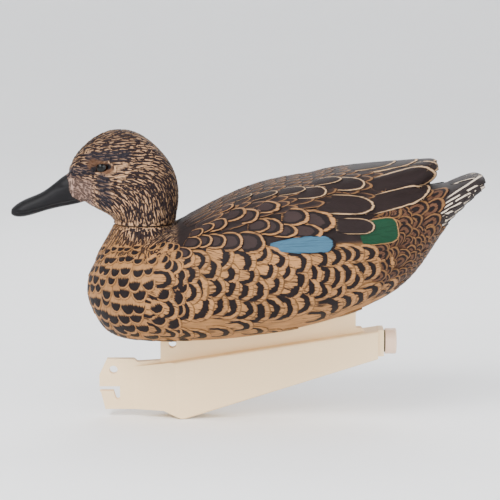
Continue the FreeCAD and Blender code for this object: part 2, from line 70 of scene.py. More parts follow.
MM = 0.001
LEFT, RIGHT = 1, -1
FEATHER_UV = "feather"
BODY_SKIN = "body_skin"
CLOSE = 1e-5
NO_LENGTH = 1e-6
FACING = 0.05                   # least share of a direction that counts as facing a surface


# ---- sizes and colours a user would change ----

def paint(red, green, blue):
    """Scene-linear colour from a paint chart's 0 to 255 values."""
    shares = [value / 255 for value in (red, green, blue)]
    return tuple(s / 12.92 if s <= 0.04045 else ((s + 0.055) / 1.055) ** 2.4 for s in shares)


def colour_property(name, description, default):
    return bpy.props.FloatVectorProperty(
        name=name, description=description, default=default, subtype="COLOR", size=3, min=0, max=1)


def length_property(name, description, default):
    return bpy.props.FloatProperty(
        name=name, description=description, default=default, subtype="DISTANCE", unit="LENGTH", min=0)


def angle_property(name, description, default):
    return bpy.props.FloatProperty(
        name=name, description=description, default=math.radians(default), subtype="ANGLE", unit="ROTATION")


class DecoyColours(bpy.types.PropertyGroup):
    tan: colour_property("Tan", "Ground of the breast and flank", paint(155, 111, 69))
    edging: colour_property("Edging", "Palest edging of the tail feathers", paint(206, 190, 170))
    cream: colour_property("Cream", "Thin pale feather edges", paint(186, 152, 114))
    buff: colour_property("Buff", "Wide edges of the shoulder feathers", paint(154, 110, 68))
    mark: colour_property("Mark", "Dark crescents and bars", paint(20, 12, 12))
    wing: colour_property("Wing", "Dark centres of the wing feathers", paint(30, 21, 20))
    back: colour_property("Back", "Feathers of the mantle and back", paint(48, 35, 30))
    rust: colour_property("Rust", "Rump and tail coverts", paint(86, 57, 40))
    tail: colour_property("Tail", "Tail feathers", paint(40, 34, 34))
    blue: colour_property("Blue", "Blue wing patch", paint(57, 92, 113))
    green: colour_property("Green", "Green wing patch", paint(15, 52, 33))
    head_dark: colour_property("Head dark", "Ground of the head and neck", paint(30, 20, 21))
    head_pale: colour_property("Head pale", "Streaks of the head and neck", paint(177, 139, 105))
    slate: colour_property("Slate", "Bands beside the eye", paint(27, 24, 31))
    cheek: colour_property("Cheek", "Pale patch beside the bill", paint(146, 118, 105))
    eyelid: colour_property("Eyelid", "Brown ring around the eye", paint(84, 58, 41))
    bill: colour_property("Bill", "Bill", paint(15, 14, 16))
    keel: colour_property("Keel", "Keel moulding", paint(253, 222, 174))
    plug: colour_property("Plug", "Keel plug", paint(238, 204, 176))


class DecoySizes(bpy.types.PropertyGroup):
    body_grain: length_property("Body grain", "Face size of the body's skin", 1.5 * MM)
    head_grain: length_property("Head grain", "Face size of the head's skin", 0.7 * MM)
    root_sink: length_property("Root sink", "Depth of a feather's root under the skin", 0.45 * MM)
    tip_lift: length_property("Tip lift", "Height of a feather's tip over the skin", 0.5 * MM)
    streak_length: length_property("Streak length", "Length of the head's small feathers", 7.0 * MM)
    streak_width: length_property("Streak width", "Width of the head's small feathers", 2.9 * MM)
    streak_gap: length_property("Streak gap", "Least distance between the head's feathers", 2.2 * MM)


class DecoyStage(bpy.types.PropertyGroup):
    elevation: angle_property("Elevation", "Height of the eye over the horizon", 8.0)
    lens: bpy.props.FloatProperty(name="Lens", description="Focal length", default=150.0, unit="CAMERA")
    view_width: length_property("View width", "Width of the picture at the object", 340.5 * MM)
    aim_height: length_property("Aim height", "Height that the camera is aimed at", 51.6 * MM)
    aim_forward: length_property("Aim forward", "Place along the duck that the camera is aimed at", 1.4 * MM)


def sizes():
    return bpy.context.scene.decoy_sizes


def tone(name, share=1.0):
    """A colour of the palette, darker or lighter by a share."""
    return tuple(share * value for value in getattr(bpy.context.scene.decoy_colours, name))


# ---- mesh helpers ----

def link(name, mesh):
    obj = bpy.data.objects.new(name, mesh)
    bpy.context.scene.collection.objects.link(obj)
    return obj


def shade_smooth(mesh):
    mesh.polygons.foreach_set("use_smooth", [True] * len(mesh.polygons))


def welded_copy(node):
    """Mesh of a CAD node with its loose triangles joined."""
    work = bmesh.new()
    work.from_mesh(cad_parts[node].data)
    bmesh.ops.remove_doubles(work, verts=work.verts, dist=CLOSE)
    return work


def add_disc_plug(work, radius, low, high, centre_x):
    """Cylinder that shuts the throat of a hollow moulding."""
    middle = Vector((centre_x, 0, (low + high) / 2))
    bmesh.ops.create_cone(work, cap_ends=True, segments=96, radius1=radius, radius2=radius,
                          depth=high - low, matrix=Matrix.Translation(middle))


def drop_hidden_faces(work, reach=0.6, look_count=40):
    """Delete the faces that no straight line from outside can reach."""
    work.normal_update()
    tree = BVHTree.FromBMesh(work)
    golden = math.pi * (3 - math.sqrt(5))
    looks = []
    for k in range(look_count):
        z = 1 - (2 * k + 1) / look_count
        ring = math.sqrt(1 - z * z)
        looks.append(Vector((ring * math.cos(golden * k), ring * math.sin(golden * k), z)))
    hidden = []
    for face in work.faces:
        start = face.calc_center_median() + face.normal * 5 * CLOSE
        open_looks = [look for look in looks if look.dot(face.normal) > FACING]
        if all(tree.ray_cast(start, look, reach)[0] is not None for look in open_looks):
            hidden.append(face)
    bmesh.ops.delete(work, geom=hidden, context="FACES")


def remeshed(name, work, grain, passes=6):
    """Even closed skin over a closed form, smoothed."""
    mesh = bpy.data.meshes.new(name)
    work.to_mesh(mesh)
    work.free()
    obj = link(name, mesh)
    remesh = obj.modifiers.new("even", "REMESH")
    remesh.mode = "VOXEL"
    remesh.voxel_size = grain
    smooth = obj.modifiers.new("soft", "SMOOTH")
    smooth.factor = 0.5
    smooth.iterations = passes
    return applied(obj)


def applied(obj):
    """Plain mesh from an object's modifiers, which are then removed."""
    depsgraph = bpy.context.evaluated_depsgraph_get()
    mesh = bpy.data.meshes.new_from_object(obj.evaluated_get(depsgraph), depsgraph=depsgraph)
    old = obj.data
    obj.modifiers.clear()
    obj.data = mesh
    bpy.data.meshes.remove(old)
    return obj


def positions(mesh):
    flat = np.empty(len(mesh.vertices) * 3, np.float32)
    mesh.vertices.foreach_get("co", flat)
    return flat.reshape(-1, 3)


def normals_of(mesh):
    return np.array([vertex.normal for vertex in mesh.vertices])


def pressed_in(mesh, depth):
    """Moves the points of a mesh inwards by a depth in millimetres."""
    places = positions(mesh) - normals_of(mesh) * (depth * MM)[:, None]
    mesh.vertices.foreach_set("co", places.astype(np.float32).ravel())
    mesh.update()


def laid_flat(flows, normals):
    """Directions turned into the surface, with a length of 1."""
    flows = flows - normals * np.sum(flows * normals, axis=1)[:, None]
    return flows / np.maximum(np.linalg.norm(flows, axis=1), NO_LENGTH)[:, None]


def middle(node):
    """Middle of a CAD node's box."""
    low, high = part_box(node)
    return (low + high) / 2


def upright_round(node):
    """Centre x, radius, foot and top of a round upright CAD node."""
    low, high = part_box(node)
    return (low.x + high.x) / 2, (high.x - low.x) / 2, low.z, high.z


def opaque(values):
    """Colours with a full fourth channel."""
    return np.column_stack([values, np.ones(len(values))])


def set_attribute(mesh, name, values, kind="FLOAT"):
    attribute = mesh.attributes.new(name, kind, "POINT")
    field = {"FLOAT": "value", "FLOAT_VECTOR": "vector", "FLOAT_COLOR": "color"}[kind]
    attribute.data.foreach_set(field, np.asarray(values, np.float32).ravel())


def smoothstep(low, high, value):
    share = np.clip((value - low) / (high - low), 0, 1)
    return share * share * (3 - 2 * share)


# ---- places on the skin ----

OUTSIDE = 0.5                   # a distance that is outside the duck from any side


class Skin:
    """Outside of the body, for finding places and directions on it."""

    def __init__(self):
        depsgraph = bpy.context.evaluated_depsgraph_get()
        self.tree = BVHTree.FromObject(bpy.data.objects[BODY_SKIN], depsgraph)
        tilt = bpy.context.scene.decoy_stage.elevation
        self.up = Vector((0, -math.sin(tilt), math.cos(tilt)))
        self.inward = Vector((0, -math.cos(tilt), -math.sin(tilt)))

    def hit(self, start, direction):
        place, normal, _, _ = self.tree.ray_cast(start, direction)
        return (place, normal) if place is not None else None

    def seen(self, x, height, side):
        """Place that shows at x and height in the side view, on the left or its mirror."""
        start = Vector((x * MM, 0, 0)) + self.up * height * MM - self.inward * OUTSIDE
        direction = self.inward.copy()
        start.y *= side
        direction.y *= side
        return self.hit(start, direction)

    def toward_eye(self, side):
        return Vector((0, -self.inward.y * side, -self.inward.z))

    def around(self, centre_x, turn, z):
        """Place at a turn about an upright axis, 0 at the front, and a height."""
        out = Vector((math.cos(turn), math.sin(turn), 0))
        centre = Vector((centre_x * MM, 0, z * MM))
        return self.hit(centre + out * OUTSIDE, -out)

    def above(self, x, y):
        return self.hit(Vector((x * MM, y * MM, OUTSIDE)), Vector((0, 0, -1)))


def flow(droop):
    """Direction a feather points in: 0 to the tail, 90 degrees straight down."""
    angle = math.radians(droop)
    return Vector((-math.cos(angle), 0, -math.sin(angle)))


class Feathers:
    """Places, turns and sizes of the feathers of one kind."""

    def __init__(self, seed):
        self.random = random.Random(seed)
        self.draw = self.random.uniform
        self.rows = []

    def add(self, hit, direction, length, width, tip_at_hit=False, lift=1.0, outward=None):
        if hit is None:
            return
        place, normal = hit
        along = direction - normal * direction.dot(normal)
        if along.length < FACING:
            return
        along.normalize()
        across = along.cross(normal)
        turn = Matrix((across, along, normal)).transposed().to_euler()
        if tip_at_hit:
            place = place - along * length * MM
        self.rows.append((place, turn, length * MM, width * MM, self.random.random(), lift,
                          outward or normal))

    def span(self, root, tip, width, lift=1.0, outward=None):
        """Feather laid from a root place to a tip place, and pressed on from outward."""
        if root is None or tip is None:
            return
        normal = outward or (root[1] + tip[1]).normalized()
        along = tip[0] - root[0]
        self.add((root[0], normal), along.normalized(), along.length / MM, width, lift=lift,
                 outward=outward)

    def guide(self, name):
        """Mesh of loose points that carries the feathers' turns and sizes."""
        mesh = bpy.data.meshes.new(name)
        mesh.from_pydata([row[0] for row in self.rows], [], [])
        set_attribute(mesh, "turn", [tuple(row[1]) for row in self.rows], "FLOAT_VECTOR")
        set_attribute(mesh, "size", [(row[3] / 2, row[2], 1) for row in self.rows], "FLOAT_VECTOR")
        set_attribute(mesh, "seed", [row[4] for row in self.rows])
        set_attribute(mesh, "lift", [row[5] for row in self.rows])
        set_attribute(mesh, "outward", [tuple(row[6]) for row in self.rows], "FLOAT_VECTOR")
        return link(name, mesh)


TIP_TURN = math.radians(82)     # how far the outline turns in on its way to the tip
TIP_SHARE = 0.985
CROWN_POWER = 2.5


def feather_blank(name, cells, curve, root_width, crown_share):
    """Closed unit leaf: root at y 0, tip at y 1, sides at x -1 and 1, on the plane z 0."""
    (across, along), (start, fullness) = cells, curve
    rows = []
    straight = max(1, along // 3)
    for j in range(straight):
        y = start * j / straight
        rows.append((y, root_width + (1 - root_width) * math.sin(math.pi / 2 * j / straight)))
    curved = along - straight
    for j in range(curved + 1):
        share = math.sin(TIP_TURN * j / curved) / math.sin(TIP_TURN)
        y = start + (1 - start) * share
        rows.append((y, max(1 - (share * TIP_SHARE) ** fullness, 0) ** (1 / fullness)))
    work = bmesh.new()
    layer = work.loops.layers.uv.new(FEATHER_UV)
    top = [[work.verts.new((half * (2 * i / across - 1), y, 0)) for i in range(across + 1)]
           for y, half in rows]
    count = len(rows)
    for j in range(count - 1):
        for i in range(across):
            work.faces.new((top[j][i], top[j][i + 1], top[j + 1][i + 1], top[j + 1][i]))
    rim = [top[0][i] for i in range(across + 1)]
    rim += [top[j][across] for j in range(1, count)]
    rim += [top[count - 1][i] for i in range(across - 1, -1, -1)]
    rim += [top[j][0] for j in range(count - 2, 0, -1)]
    under = [work.verts.new(vert.co) for vert in rim]
    for k, vert in enumerate(rim):
        after = (k + 1) % len(rim)
        work.faces.new((vert, under[k], under[after], rim[after]))
    work.faces.new(list(reversed(under)))
    for face in work.faces:
        for loop in face.loops:
            loop[layer].uv = ((loop.vert.co.x + 1) / 2, loop.vert.co.y)
    work.verts.index_update()
    first_under = len(work.verts) - len(under)
    mesh = bpy.data.meshes.new(name)
    work.to_mesh(mesh)
    work.free()
    places = positions(mesh)
    is_top = (np.arange(len(places)) < first_under).astype(float)
    crown = crown_share * is_top * (1 - np.abs(places[:, 0]) ** CROWN_POWER)
    set_attribute(mesh, "rise", places[:, 1])
    set_attribute(mesh, "top", is_top)
    set_attribute(mesh, "crown", crown)
    shade_smooth(mesh)
    blank = link(name, mesh)
    blank.hide_render = True
    return blank


# ---- geometry nodes ----

class Graph:
    """A node tree, built from left to right."""

    def __init__(self, graph):
        self.graph = graph

    def node(self, kind, settings=None, **links):
        made = self.graph.nodes.new(kind)
        for key, value in (settings or {}).items():
            setattr(made, key, value)
        for key, value in links.items():
            self.feed(made.inputs[key.replace("_", " ")], value)
        return made

    def feed(self, socket, value):
        if isinstance(value, bpy.types.NodeSocket):
            self.graph.links.new(value, socket)
        elif socket.type == "RGBA" and len(value) == 3:
            socket.default_value = (*value, 1)
        else:
            socket.default_value = value

    def maths(self, operation, *values):
        made = self.node("ShaderNodeMath", {"operation": operation})
        for socket, value in zip(made.inputs, values):
            self.feed(socket, value)
        return made.outputs[0]

    def times(self, first, second):
        return self.maths("MULTIPLY", first, second)

    def plus(self, first, second):
        return self.maths("ADD", first, second)

    def minus(self, first, second):
        return self.maths("SUBTRACT", first, second)

    def line(self, value, slope, base):
        """Slope times the value, plus the base."""
        return self.maths("MULTIPLY_ADD", value, slope, base)


class Tree(Graph):
    """A geometry node group with named inputs."""

    def __init__(self, name):
        super().__init__(bpy.data.node_groups.new(name, "GeometryNodeTree"))
        self.inputs = {}
        for way in ("INPUT", "OUTPUT"):
            self.graph.interface.new_socket("Geometry", in_out=way, socket_type="NodeSocketGeometry")
        self.start = self.graph.nodes.new("NodeGroupInput")
        self.end = self.graph.nodes.new("NodeGroupOutput")

    def input(self, name, kind):
        socket = self.graph.interface.new_socket(name, in_out="INPUT", socket_type="NodeSocket" + kind)
        self.inputs[name] = socket.identifier
        return self.start.outputs[name]

    def named(self, name, kind="FLOAT"):
        made = self.node("GeometryNodeInputNamedAttribute", {"data_type": kind}, Name=name)
        return next(out for out in made.outputs if out.enabled and out.name == "Attribute")

    def mesh_of(self, obj):
        return self.node("GeometryNodeObjectInfo", Object=obj).outputs["Geometry"]

    def vectors(self, operation, first, second):
        made = self.node("ShaderNodeVectorMath", {"operation": operation})
        self.feed(made.inputs[0], first)
        slot = "Scale" if operation == "SCALE" else 1
        self.feed(made.inputs[slot], second)
        return made.outputs["Vector"]


PRESS_REACH = 0.03              # how far from its place a feather looks for the skin
ROOT_SLOPE = 4.0                # the root comes up over a quarter of the feather
EMERGE = 1.35                   # heights as shares of the root's sink
CROWN_HEIGHT = 0.45
UNDERSIDE = -1.8


def pressed_on(tree, skin, nearest):
    """Where each point meets the skin when pressed on from its feather's outward side."""
    outward = tree.named("outward", "FLOAT_VECTOR")
    place = tree.node("GeometryNodeInputPosition").outputs[0]
    start = tree.vectors("ADD", place, tree.vectors("SCALE", outward, PRESS_REACH))
    ray = tree.node("GeometryNodeRaycast", {"data_type": "FLOAT_VECTOR"}, Target_Geometry=skin,
                    Source_Position=start, Ray_Direction=tree.vectors("SCALE", outward, -1.0),
                    Ray_Length=2 * PRESS_REACH)
    chosen = []
    for missed, met in zip(nearest, ("Hit Position", "Hit Normal")):
        switch = tree.node("GeometryNodeSwitch", {"input_type": "VECTOR"}, Switch=ray.outputs["Is Hit"])
        tree.feed(switch.inputs["False"], missed)
        tree.feed(switch.inputs["True"], ray.outputs[met])
        chosen.append(switch.outputs[0])
    return chosen


def lay_on_skin(tree, geometry, skin, sink, lift, pressed):
    """Bends realised feathers onto the skin, roots sunk and tips raised."""
    nearest = []
    for kind in ("GeometryNodeInputPosition", "GeometryNodeInputNormal"):
        sample = tree.node("GeometryNodeSampleNearestSurface", {"data_type": "FLOAT_VECTOR"}, Mesh=skin)
        socket = next(s for s in sample.inputs if s.enabled and s.name == "Value")
        tree.feed(socket, tree.node(kind).outputs[0])
        nearest.append(next(out for out in sample.outputs if out.enabled and out.name == "Value"))
    if pressed:
        nearest = pressed_on(tree, skin, nearest)
    rise = tree.named("rise")
    out_of_skin = tree.maths("MINIMUM", tree.times(rise, ROOT_SLOPE), 1.0)
    emerge = tree.times(out_of_skin, tree.times(sink, EMERGE))
    raised = tree.times(tree.times(rise, lift), tree.named("lift"))
    crown = tree.times(tree.named("crown"), tree.times(sink, CROWN_HEIGHT))
    height = tree.plus(tree.minus(tree.plus(raised, emerge), sink), crown)
    under = tree.times(tree.minus(1.0, tree.named("top")), tree.times(sink, UNDERSIDE))
    height = tree.plus(height, under)
    direction = tree.vectors("NORMALIZE", nearest[1], (0.0, 0.0, 0.0))
    moved = tree.vectors("ADD", nearest[0], tree.vectors("SCALE", direction, height))
    return tree.node("GeometryNodeSetPosition", Geometry=geometry, Position=moved).outputs[0]


def row_tree():
    """Feathers on guide points that carry their own turn and size."""
    tree = Tree("Feather rows")
    blank, skin = tree.input("Feather", "Object"), tree.input("Skin", "Object")
    points = tree.node("GeometryNodeMeshToPoints", Mesh=tree.start.outputs["Geometry"]).outputs[0]
    copies = tree.node("GeometryNodeInstanceOnPoints", Points=points, Instance=tree.mesh_of(blank),
                       Rotation=tree.named("turn", "FLOAT_VECTOR"),
                       Scale=tree.named("size", "FLOAT_VECTOR")).outputs[0]
    return finished_tree(tree, copies, tree.mesh_of(skin), True)


def finished_tree(tree, copies, skin, pressed):
    """Ends a tree: real geometry, laid on the skin, with its material."""
    sink, lift = tree.input("Root sink", "Float"), tree.input("Tip lift", "Float")
    finish = tree.input("Finish", "Material")
    real = tree.node("GeometryNodeRealizeInstances", Geometry=copies).outputs[0]
    laid = lay_on_skin(tree, real, skin, sink, lift, pressed)
    done = tree.node("GeometryNodeSetMaterial", Geometry=laid, Material=finish).outputs[0]
    tree.feed(tree.end.inputs["Geometry"], done)
    return tree


SCATTER_SEED = 7
SCATTER_MOST = 9e5              # feathers to the square metre
LENGTH_SPREAD = (0.8, 1.2)


def scatter_tree():
    """Small feathers scattered over the skin, along its flow, where its cover says so."""
    tree = Tree("Scattered feathers")
    blank = tree.input("Feather", "Object")
    gap, half_width, length = (tree.input(name, "Float") for name in ("Gap", "Half width", "Length"))
    skin = tree.start.outputs["Geometry"]
    scatter = tree.node("GeometryNodeDistributePointsOnFaces", {"distribute_method": "POISSON"},
                        Mesh=skin, Distance_Min=gap, Density_Max=SCATTER_MOST, Seed=SCATTER_SEED,
                        Density_Factor=tree.named("cover"))
    upright = tree.node("FunctionNodeAlignRotationToVector", {"axis": "Z"},
                        Vector=scatter.outputs["Normal"]).outputs[0]
    turned = tree.node("FunctionNodeAlignRotationToVector", {"axis": "Y", "pivot_axis": "Z"},
                       Rotation=upright, Vector=tree.named("flow", "FLOAT_VECTOR")).outputs[0]
    spread = tree.node("FunctionNodeRandomValue", {"data_type": "FLOAT"})
    for socket, value in zip(spread.inputs[2:4], LENGTH_SPREAD):
        tree.feed(socket, value)
    size = tree.node("ShaderNodeCombineXYZ", X=half_width, Y=tree.times(length, spread.outputs[1]), Z=1.0)
    copies = tree.node("GeometryNodeInstanceOnPoints", Points=scatter.outputs["Points"],
                       Instance=tree.mesh_of(blank), Rotation=turned,
                       Scale=tree.vectors("SCALE", size.outputs[0], tree.named("grow"))).outputs[0]
    seed = tree.node("FunctionNodeRandomValue", {"data_type": "FLOAT"}).outputs[1]
    for name, value in (("seed", seed), ("lift", 1.0)):
        stored = tree.node("GeometryNodeStoreNamedAttribute",
                           {"data_type": "FLOAT", "domain": "INSTANCE"}, Geometry=copies, Name=name)
        tree.feed(next(s for s in stored.inputs if s.enabled and s.name == "Value"), value)
        copies = stored.outputs[0]
    return finished_tree(tree, copies, skin, False)


def grown_piece(name, obj, tree, values):
    """Runs a node tree on an object and leaves its result as a plain mesh."""
    modifier = obj.modifiers.new("feathers", "NODES")
    modifier.node_group = tree.graph
    for key, value in values.items():
        modifier[tree.inputs[key]] = value
    depsgraph = bpy.context.evaluated_depsgraph_get()
    mesh = bpy.data.meshes.new_from_object(obj.evaluated_get(depsgraph), depsgraph=depsgraph)
    mesh.name = name
    obj.modifiers.remove(modifier)
    shade_smooth(mesh)
    return link(name, mesh)


# ---- materials ----

class Finish(Graph):
    """A material's node tree."""

    def __init__(self, name, roughness=0.6, specular=0.14):
        self.material = bpy.data.materials.new(name)
        self.material.use_nodes = True
        super().__init__(self.material.node_tree)
        self.shader = self.graph.nodes["Principled BSDF"]
        self.shader.inputs["Roughness"].default_value = roughness
        self.shader.inputs["Specular IOR Level"].default_value = specular

    def step(self, value, low, high):
        """0 below low and 1 above high, smoothly."""
        made = self.node("ShaderNodeMapRange", {"interpolation_type": "SMOOTHSTEP"},
                         Value=value, From_Min=low, From_Max=high)
        return made.outputs[0]

    def band(self, value, low, high, soft):
        """1 between low and high."""
        rising = self.step(value, self.minus(low, soft), self.plus(low, soft))
        falling = self.step(value, self.minus(high, soft), self.plus(high, soft))
        return self.minus(rising, falling)

    def mix(self, share, first, second):
        made = self.node("ShaderNodeMix", {"data_type": "RGBA"})
        self.feed(made.inputs[0], share)
        self.feed(made.inputs[6], first)
        self.feed(made.inputs[7], second)
        return made.outputs[2]

    def noise(self, place, scale, detail=2.0, rough=0.5):
        return self.node("ShaderNodeTexNoise", Vector=place, Scale=scale, Detail=detail,
                         Roughness=rough).outputs["Fac"]

    def object_place(self, stretch=(1, 1, 1)):
        place = self.node("ShaderNodeTexCoord").outputs["Object"]
        return self.node("ShaderNodeMapping", Vector=place, Scale=stretch).outputs[0]

    def attribute(self, name, output="Fac"):
        return self.node("ShaderNodeAttribute", {"attribute_name": name}).outputs[output]

    def shaded(self, colour, value):
        """A colour made lighter or darker by a value."""
        return self.node("ShaderNodeHueSaturation", Color=colour, Value=value).outputs[0]

    def bump(self, height, strength, distance):
        made = self.node("ShaderNodeBump", Height=height, Strength=strength, Distance=distance)
        self.feed(self.shader.inputs["Normal"], made.outputs[0])

    def colour(self, value):
        self.feed(self.shader.inputs["Base Color"], value)
        return self.material


def feather_place(finish):
    """Sideways place from -1 to 1 and place along the feather from 0 to 1, from its own map."""
    uv = finish.node("ShaderNodeUVMap", {"uv_map": FEATHER_UV}).outputs[0]
    split = finish.node("ShaderNodeSeparateXYZ", Vector=uv)
    return finish.line(split.outputs[0], 2.0, -1.0), split.outputs[1]


# Where a feather's tip begins, as a share of its length, and how full its round is.
ROUND = (0.45, 2.2)
BROAD = (0.4, 2.2)
SLIM = (0.5, 1.9)
TUFT = (0.4, 2.0)
LOBE = (0.55, 2.1)
BLADE = (0.7, 1.7)
BLUE_BLOCK = (0.7, 2.4)
GREEN_BLOCK = (0.7, 3.0)
QUILL = (0.82, 2.4)
STRIP = (0.985, 2.4)

# Shares of the way from a feather's middle to its edge that take in all of it.
MIDDLE, PAST_EDGE = -1, 1.4

ROOT_WIDTH = 0.7                # width at the root as a share of the feather's width

EDGE_GRAIN = 160.0              # noise that bends the edges of the marks
BARB_RUN, BARB_SLANT, BARB_COUNT, BARB_SHIFT = 3.0, 0.35, 26.0, 90.0
STREAK_ACROSS, STREAK_ALONG, STREAK_SHIFT = 12.0, 2.2, 70.0
STREAK_EDGES = (0.5, 0.66)
STREAK_DARK = 0.45
RAGGED = 0.3
MARK_SOFT, FLOOR_SOFT = 0.03, 0.12
SEED_TINT, SEED_BASE = 0.22, 0.9
BARB_TINT, BARB_BASE = 0.5, 0.75


def painted_feather(name, curve, ground, marks, streak, wobble, streak_colour=None):
    """Painted feather. Marks are (colour, low, high, horn, floor): bands between two shares of the
    way from the middle to the edge, with horn drawing the band's inner side out towards its ends,
    and nothing nearer to the root than floor."""
    start, fullness = curve
    finish = Finish(name, 0.62)
    sideways, along = feather_place(finish)
    seed = finish.attribute("seed")
    lean = finish.line(finish.noise(finish.object_place(), EDGE_GRAIN), 2 * wobble, -wobble)
    off_middle = finish.maths("ABSOLUTE", sideways)
    past = finish.maths("MAXIMUM", finish.maths("DIVIDE", finish.minus(along, start), 1 - start), 0.0)
    side_power = finish.maths("POWER", off_middle, fullness)
    edge = finish.plus(side_power, finish.maths("POWER", past, fullness))
    edge = finish.plus(finish.maths("POWER", edge, 1 / fullness), lean)
    slant = finish.minus(along, finish.times(off_middle, BARB_SLANT))
    barb_place = finish.node("ShaderNodeCombineXYZ", X=finish.times(sideways, BARB_RUN),
                             Y=finish.times(slant, BARB_COUNT), Z=finish.times(seed, BARB_SHIFT))
    barbs = finish.noise(barb_place.outputs[0], 1.0, 3.0, 0.6)
    run_place = finish.node("ShaderNodeCombineXYZ", X=finish.times(sideways, STREAK_ACROSS),
                            Y=finish.times(along, STREAK_ALONG), Z=finish.times(seed, STREAK_SHIFT))
    runs = finish.noise(run_place.outputs[0], 1.0, 2.0, 0.5)
    dark = streak_colour or tuple(STREAK_DARK * value for value in ground)
    colour = finish.mix(finish.times(finish.step(runs, *STREAK_EDGES), streak), ground, dark)
    ragged = finish.line(runs, RAGGED, -RAGGED / 2)
    ragged_edge = finish.plus(edge, finish.times(ragged, 0.5))
    ragged_along = finish.plus(along, ragged)
    for mark, low, high, horn, floor in marks:
        inner = finish.plus(finish.times(side_power, horn), low)
        share = finish.times(finish.band(ragged_edge, inner, high, MARK_SOFT),
                             finish.step(ragged_along, floor, floor + FLOOR_SOFT))
        colour = finish.mix(share, colour, mark)
    colour = finish.shaded(colour, finish.line(seed, SEED_TINT, SEED_BASE))
    colour = finish.shaded(colour, finish.line(barbs, BARB_TINT, BARB_BASE))
    finish.bump(finish.plus(barbs, finish.times(runs, 0.5)), 0.35, 0.5 * MM)
    return finish.colour(colour)


def shade_line_rim(low, floor=0.1):
    """Mark that edges a feather with a dark line: painted shade along the edge where one feather lies over
    the next.
    """
    return tone("mark"), low, PAST_EDGE, 0.0, floor


FLECK_STRETCH, FLECK_EDGES = (700, 700, 260), (0.46, 0.56)


def flecks(finish):
    """Dark and pale flecks in the region colours of the points."""
    share = finish.step(finish.noise(finish.object_place(FLECK_STRETCH), 1.0, 2.0), *FLECK_EDGES)
    return finish.mix(share, finish.attribute("dark", "Color"), finish.attribute("pale", "Color"))


def skin_finish():
    """Paint of the moulding between the feathers, from the region colours of its points."""
    finish = Finish("hull paint", 0.66)
    streaks = finish.noise(finish.object_place((60, 420, 420)), 1.0, 3.0, 0.6)
    mottle = finish.noise(finish.object_place(), 90.0, 3.0)
    ground = finish.mix(finish.attribute("neck"), finish.attribute("ground", "Color"), flecks(finish))
    shade = finish.times(finish.line(streaks, 1.1, 0.3), finish.line(mottle, 0.5, 0.8))
    finish.bump(streaks, 0.3, 0.5 * MM)
    return finish.colour(finish.shaded(ground, shade))


def head_feather_finish():
    """Small head feather: dark wedge in the middle and pale sides, in the head's region colours."""
    finish = Finish("head feather paint", 0.6)
    sideways, along = feather_place(finish)
    reach = finish.line(along, 0.55, finish.maths("ABSOLUTE", sideways))
    spread = finish.line(finish.attribute("seed"), 0.5, -0.25)
    share = finish.step(finish.plus(reach, spread), 0.84, 1.04)
    worn = finish.step(finish.noise(finish.object_place(), 320.0), 0.36, 0.52)
    finish.bump(finish.noise(finish.object_place(), 1800.0), 0.2, 0.3 * MM)
    return finish.colour(finish.mix(finish.times(share, worn), finish.attribute("dark", "Color"),
                                    finish.attribute("pale", "Color")))


def head_skin_finish():
    """Head paint under the feathers, and the bill in front of the face line."""
    paint_roughness, bill_roughness = 0.62, 0.48
    finish = Finish("head paint", paint_roughness)
    mottle = finish.noise(finish.object_place(), 260.0, 4.0)
    horn = finish.mix(mottle, tone("bill", 0.78), tone("bill", 1.3))
    share = finish.step(finish.attribute("bill"), -0.2 * MM, 0.2 * MM)
    finish.feed(finish.shader.inputs["Roughness"],
                finish.line(share, bill_roughness - paint_roughness, paint_roughness))
    finish.bump(mottle, 0.25, 0.3 * MM)
    return finish.colour(finish.mix(share, flecks(finish), horn))


def moulded_plastic(name, colour, roughness, speckle=0.06, grain=900.0):
    """Matt moulding with a fine eroded grain, faint flow marks and dirt in its colour."""
    finish = Finish(name, roughness, 0.4)
    flow_marks = finish.noise(finish.object_place((9, 9, 40)), 1.0, 3.0)
    fine = finish.noise(finish.object_place(), grain, 2.0)
    darker = tuple(c * (1 - 2.2 * speckle) for c in colour)
    shade = finish.mix(flow_marks, colour, darker)
    shade = finish.mix(finish.times(finish.step(fine, 0.5, 0.75), 0.35), shade, darker)
    finish.feed(finish.shader.inputs["Roughness"], finish.line(fine, 0.16, roughness - 0.08))
    finish.bump(fine, 0.18, 0.3 * MM)
    return finish.colour(shade)


def dress(obj, material):
    obj.data.materials.clear()
    obj.data.materials.append(material)


# ---- body ----

# Line between the dark back and the pale flank.
BACK_LINE_X = [-160, -118, -80, -30, 10, 45, 60]
BACK_LINE_Z = [60, 76, 62, 62, 58, 50, 48]


def body_ground(places):
    """Region colours of the body's skin: tan below, dark on the back and tail, rust on the rump."""
    x, z = places[:, 0] / MM, places[:, 2] / MM
    back = smoothstep(-2, 3, z - np.interp(x, BACK_LINE_X, BACK_LINE_Z))
    rump = smoothstep(-84, -96, x) * (1 - back * 0.4)
    tail = smoothstep(-112, -126, x + 0.4 * (85 - z))
    tan, wing, rust, dark_tail = (np.array(tone(name)) for name in ("tan", "wing", "rust", "tail"))
    neck = smoothstep(46, 58, z) * smoothstep(44, 52, x)
    colour = tan + (wing - tan) * np.maximum(back, neck * 0.8)[:, None]
    colour = colour + (rust * 0.6 - colour) * rump[:, None]
    colour = colour + (dark_tail - colour) * tail[:, None]
    return opaque(colour)


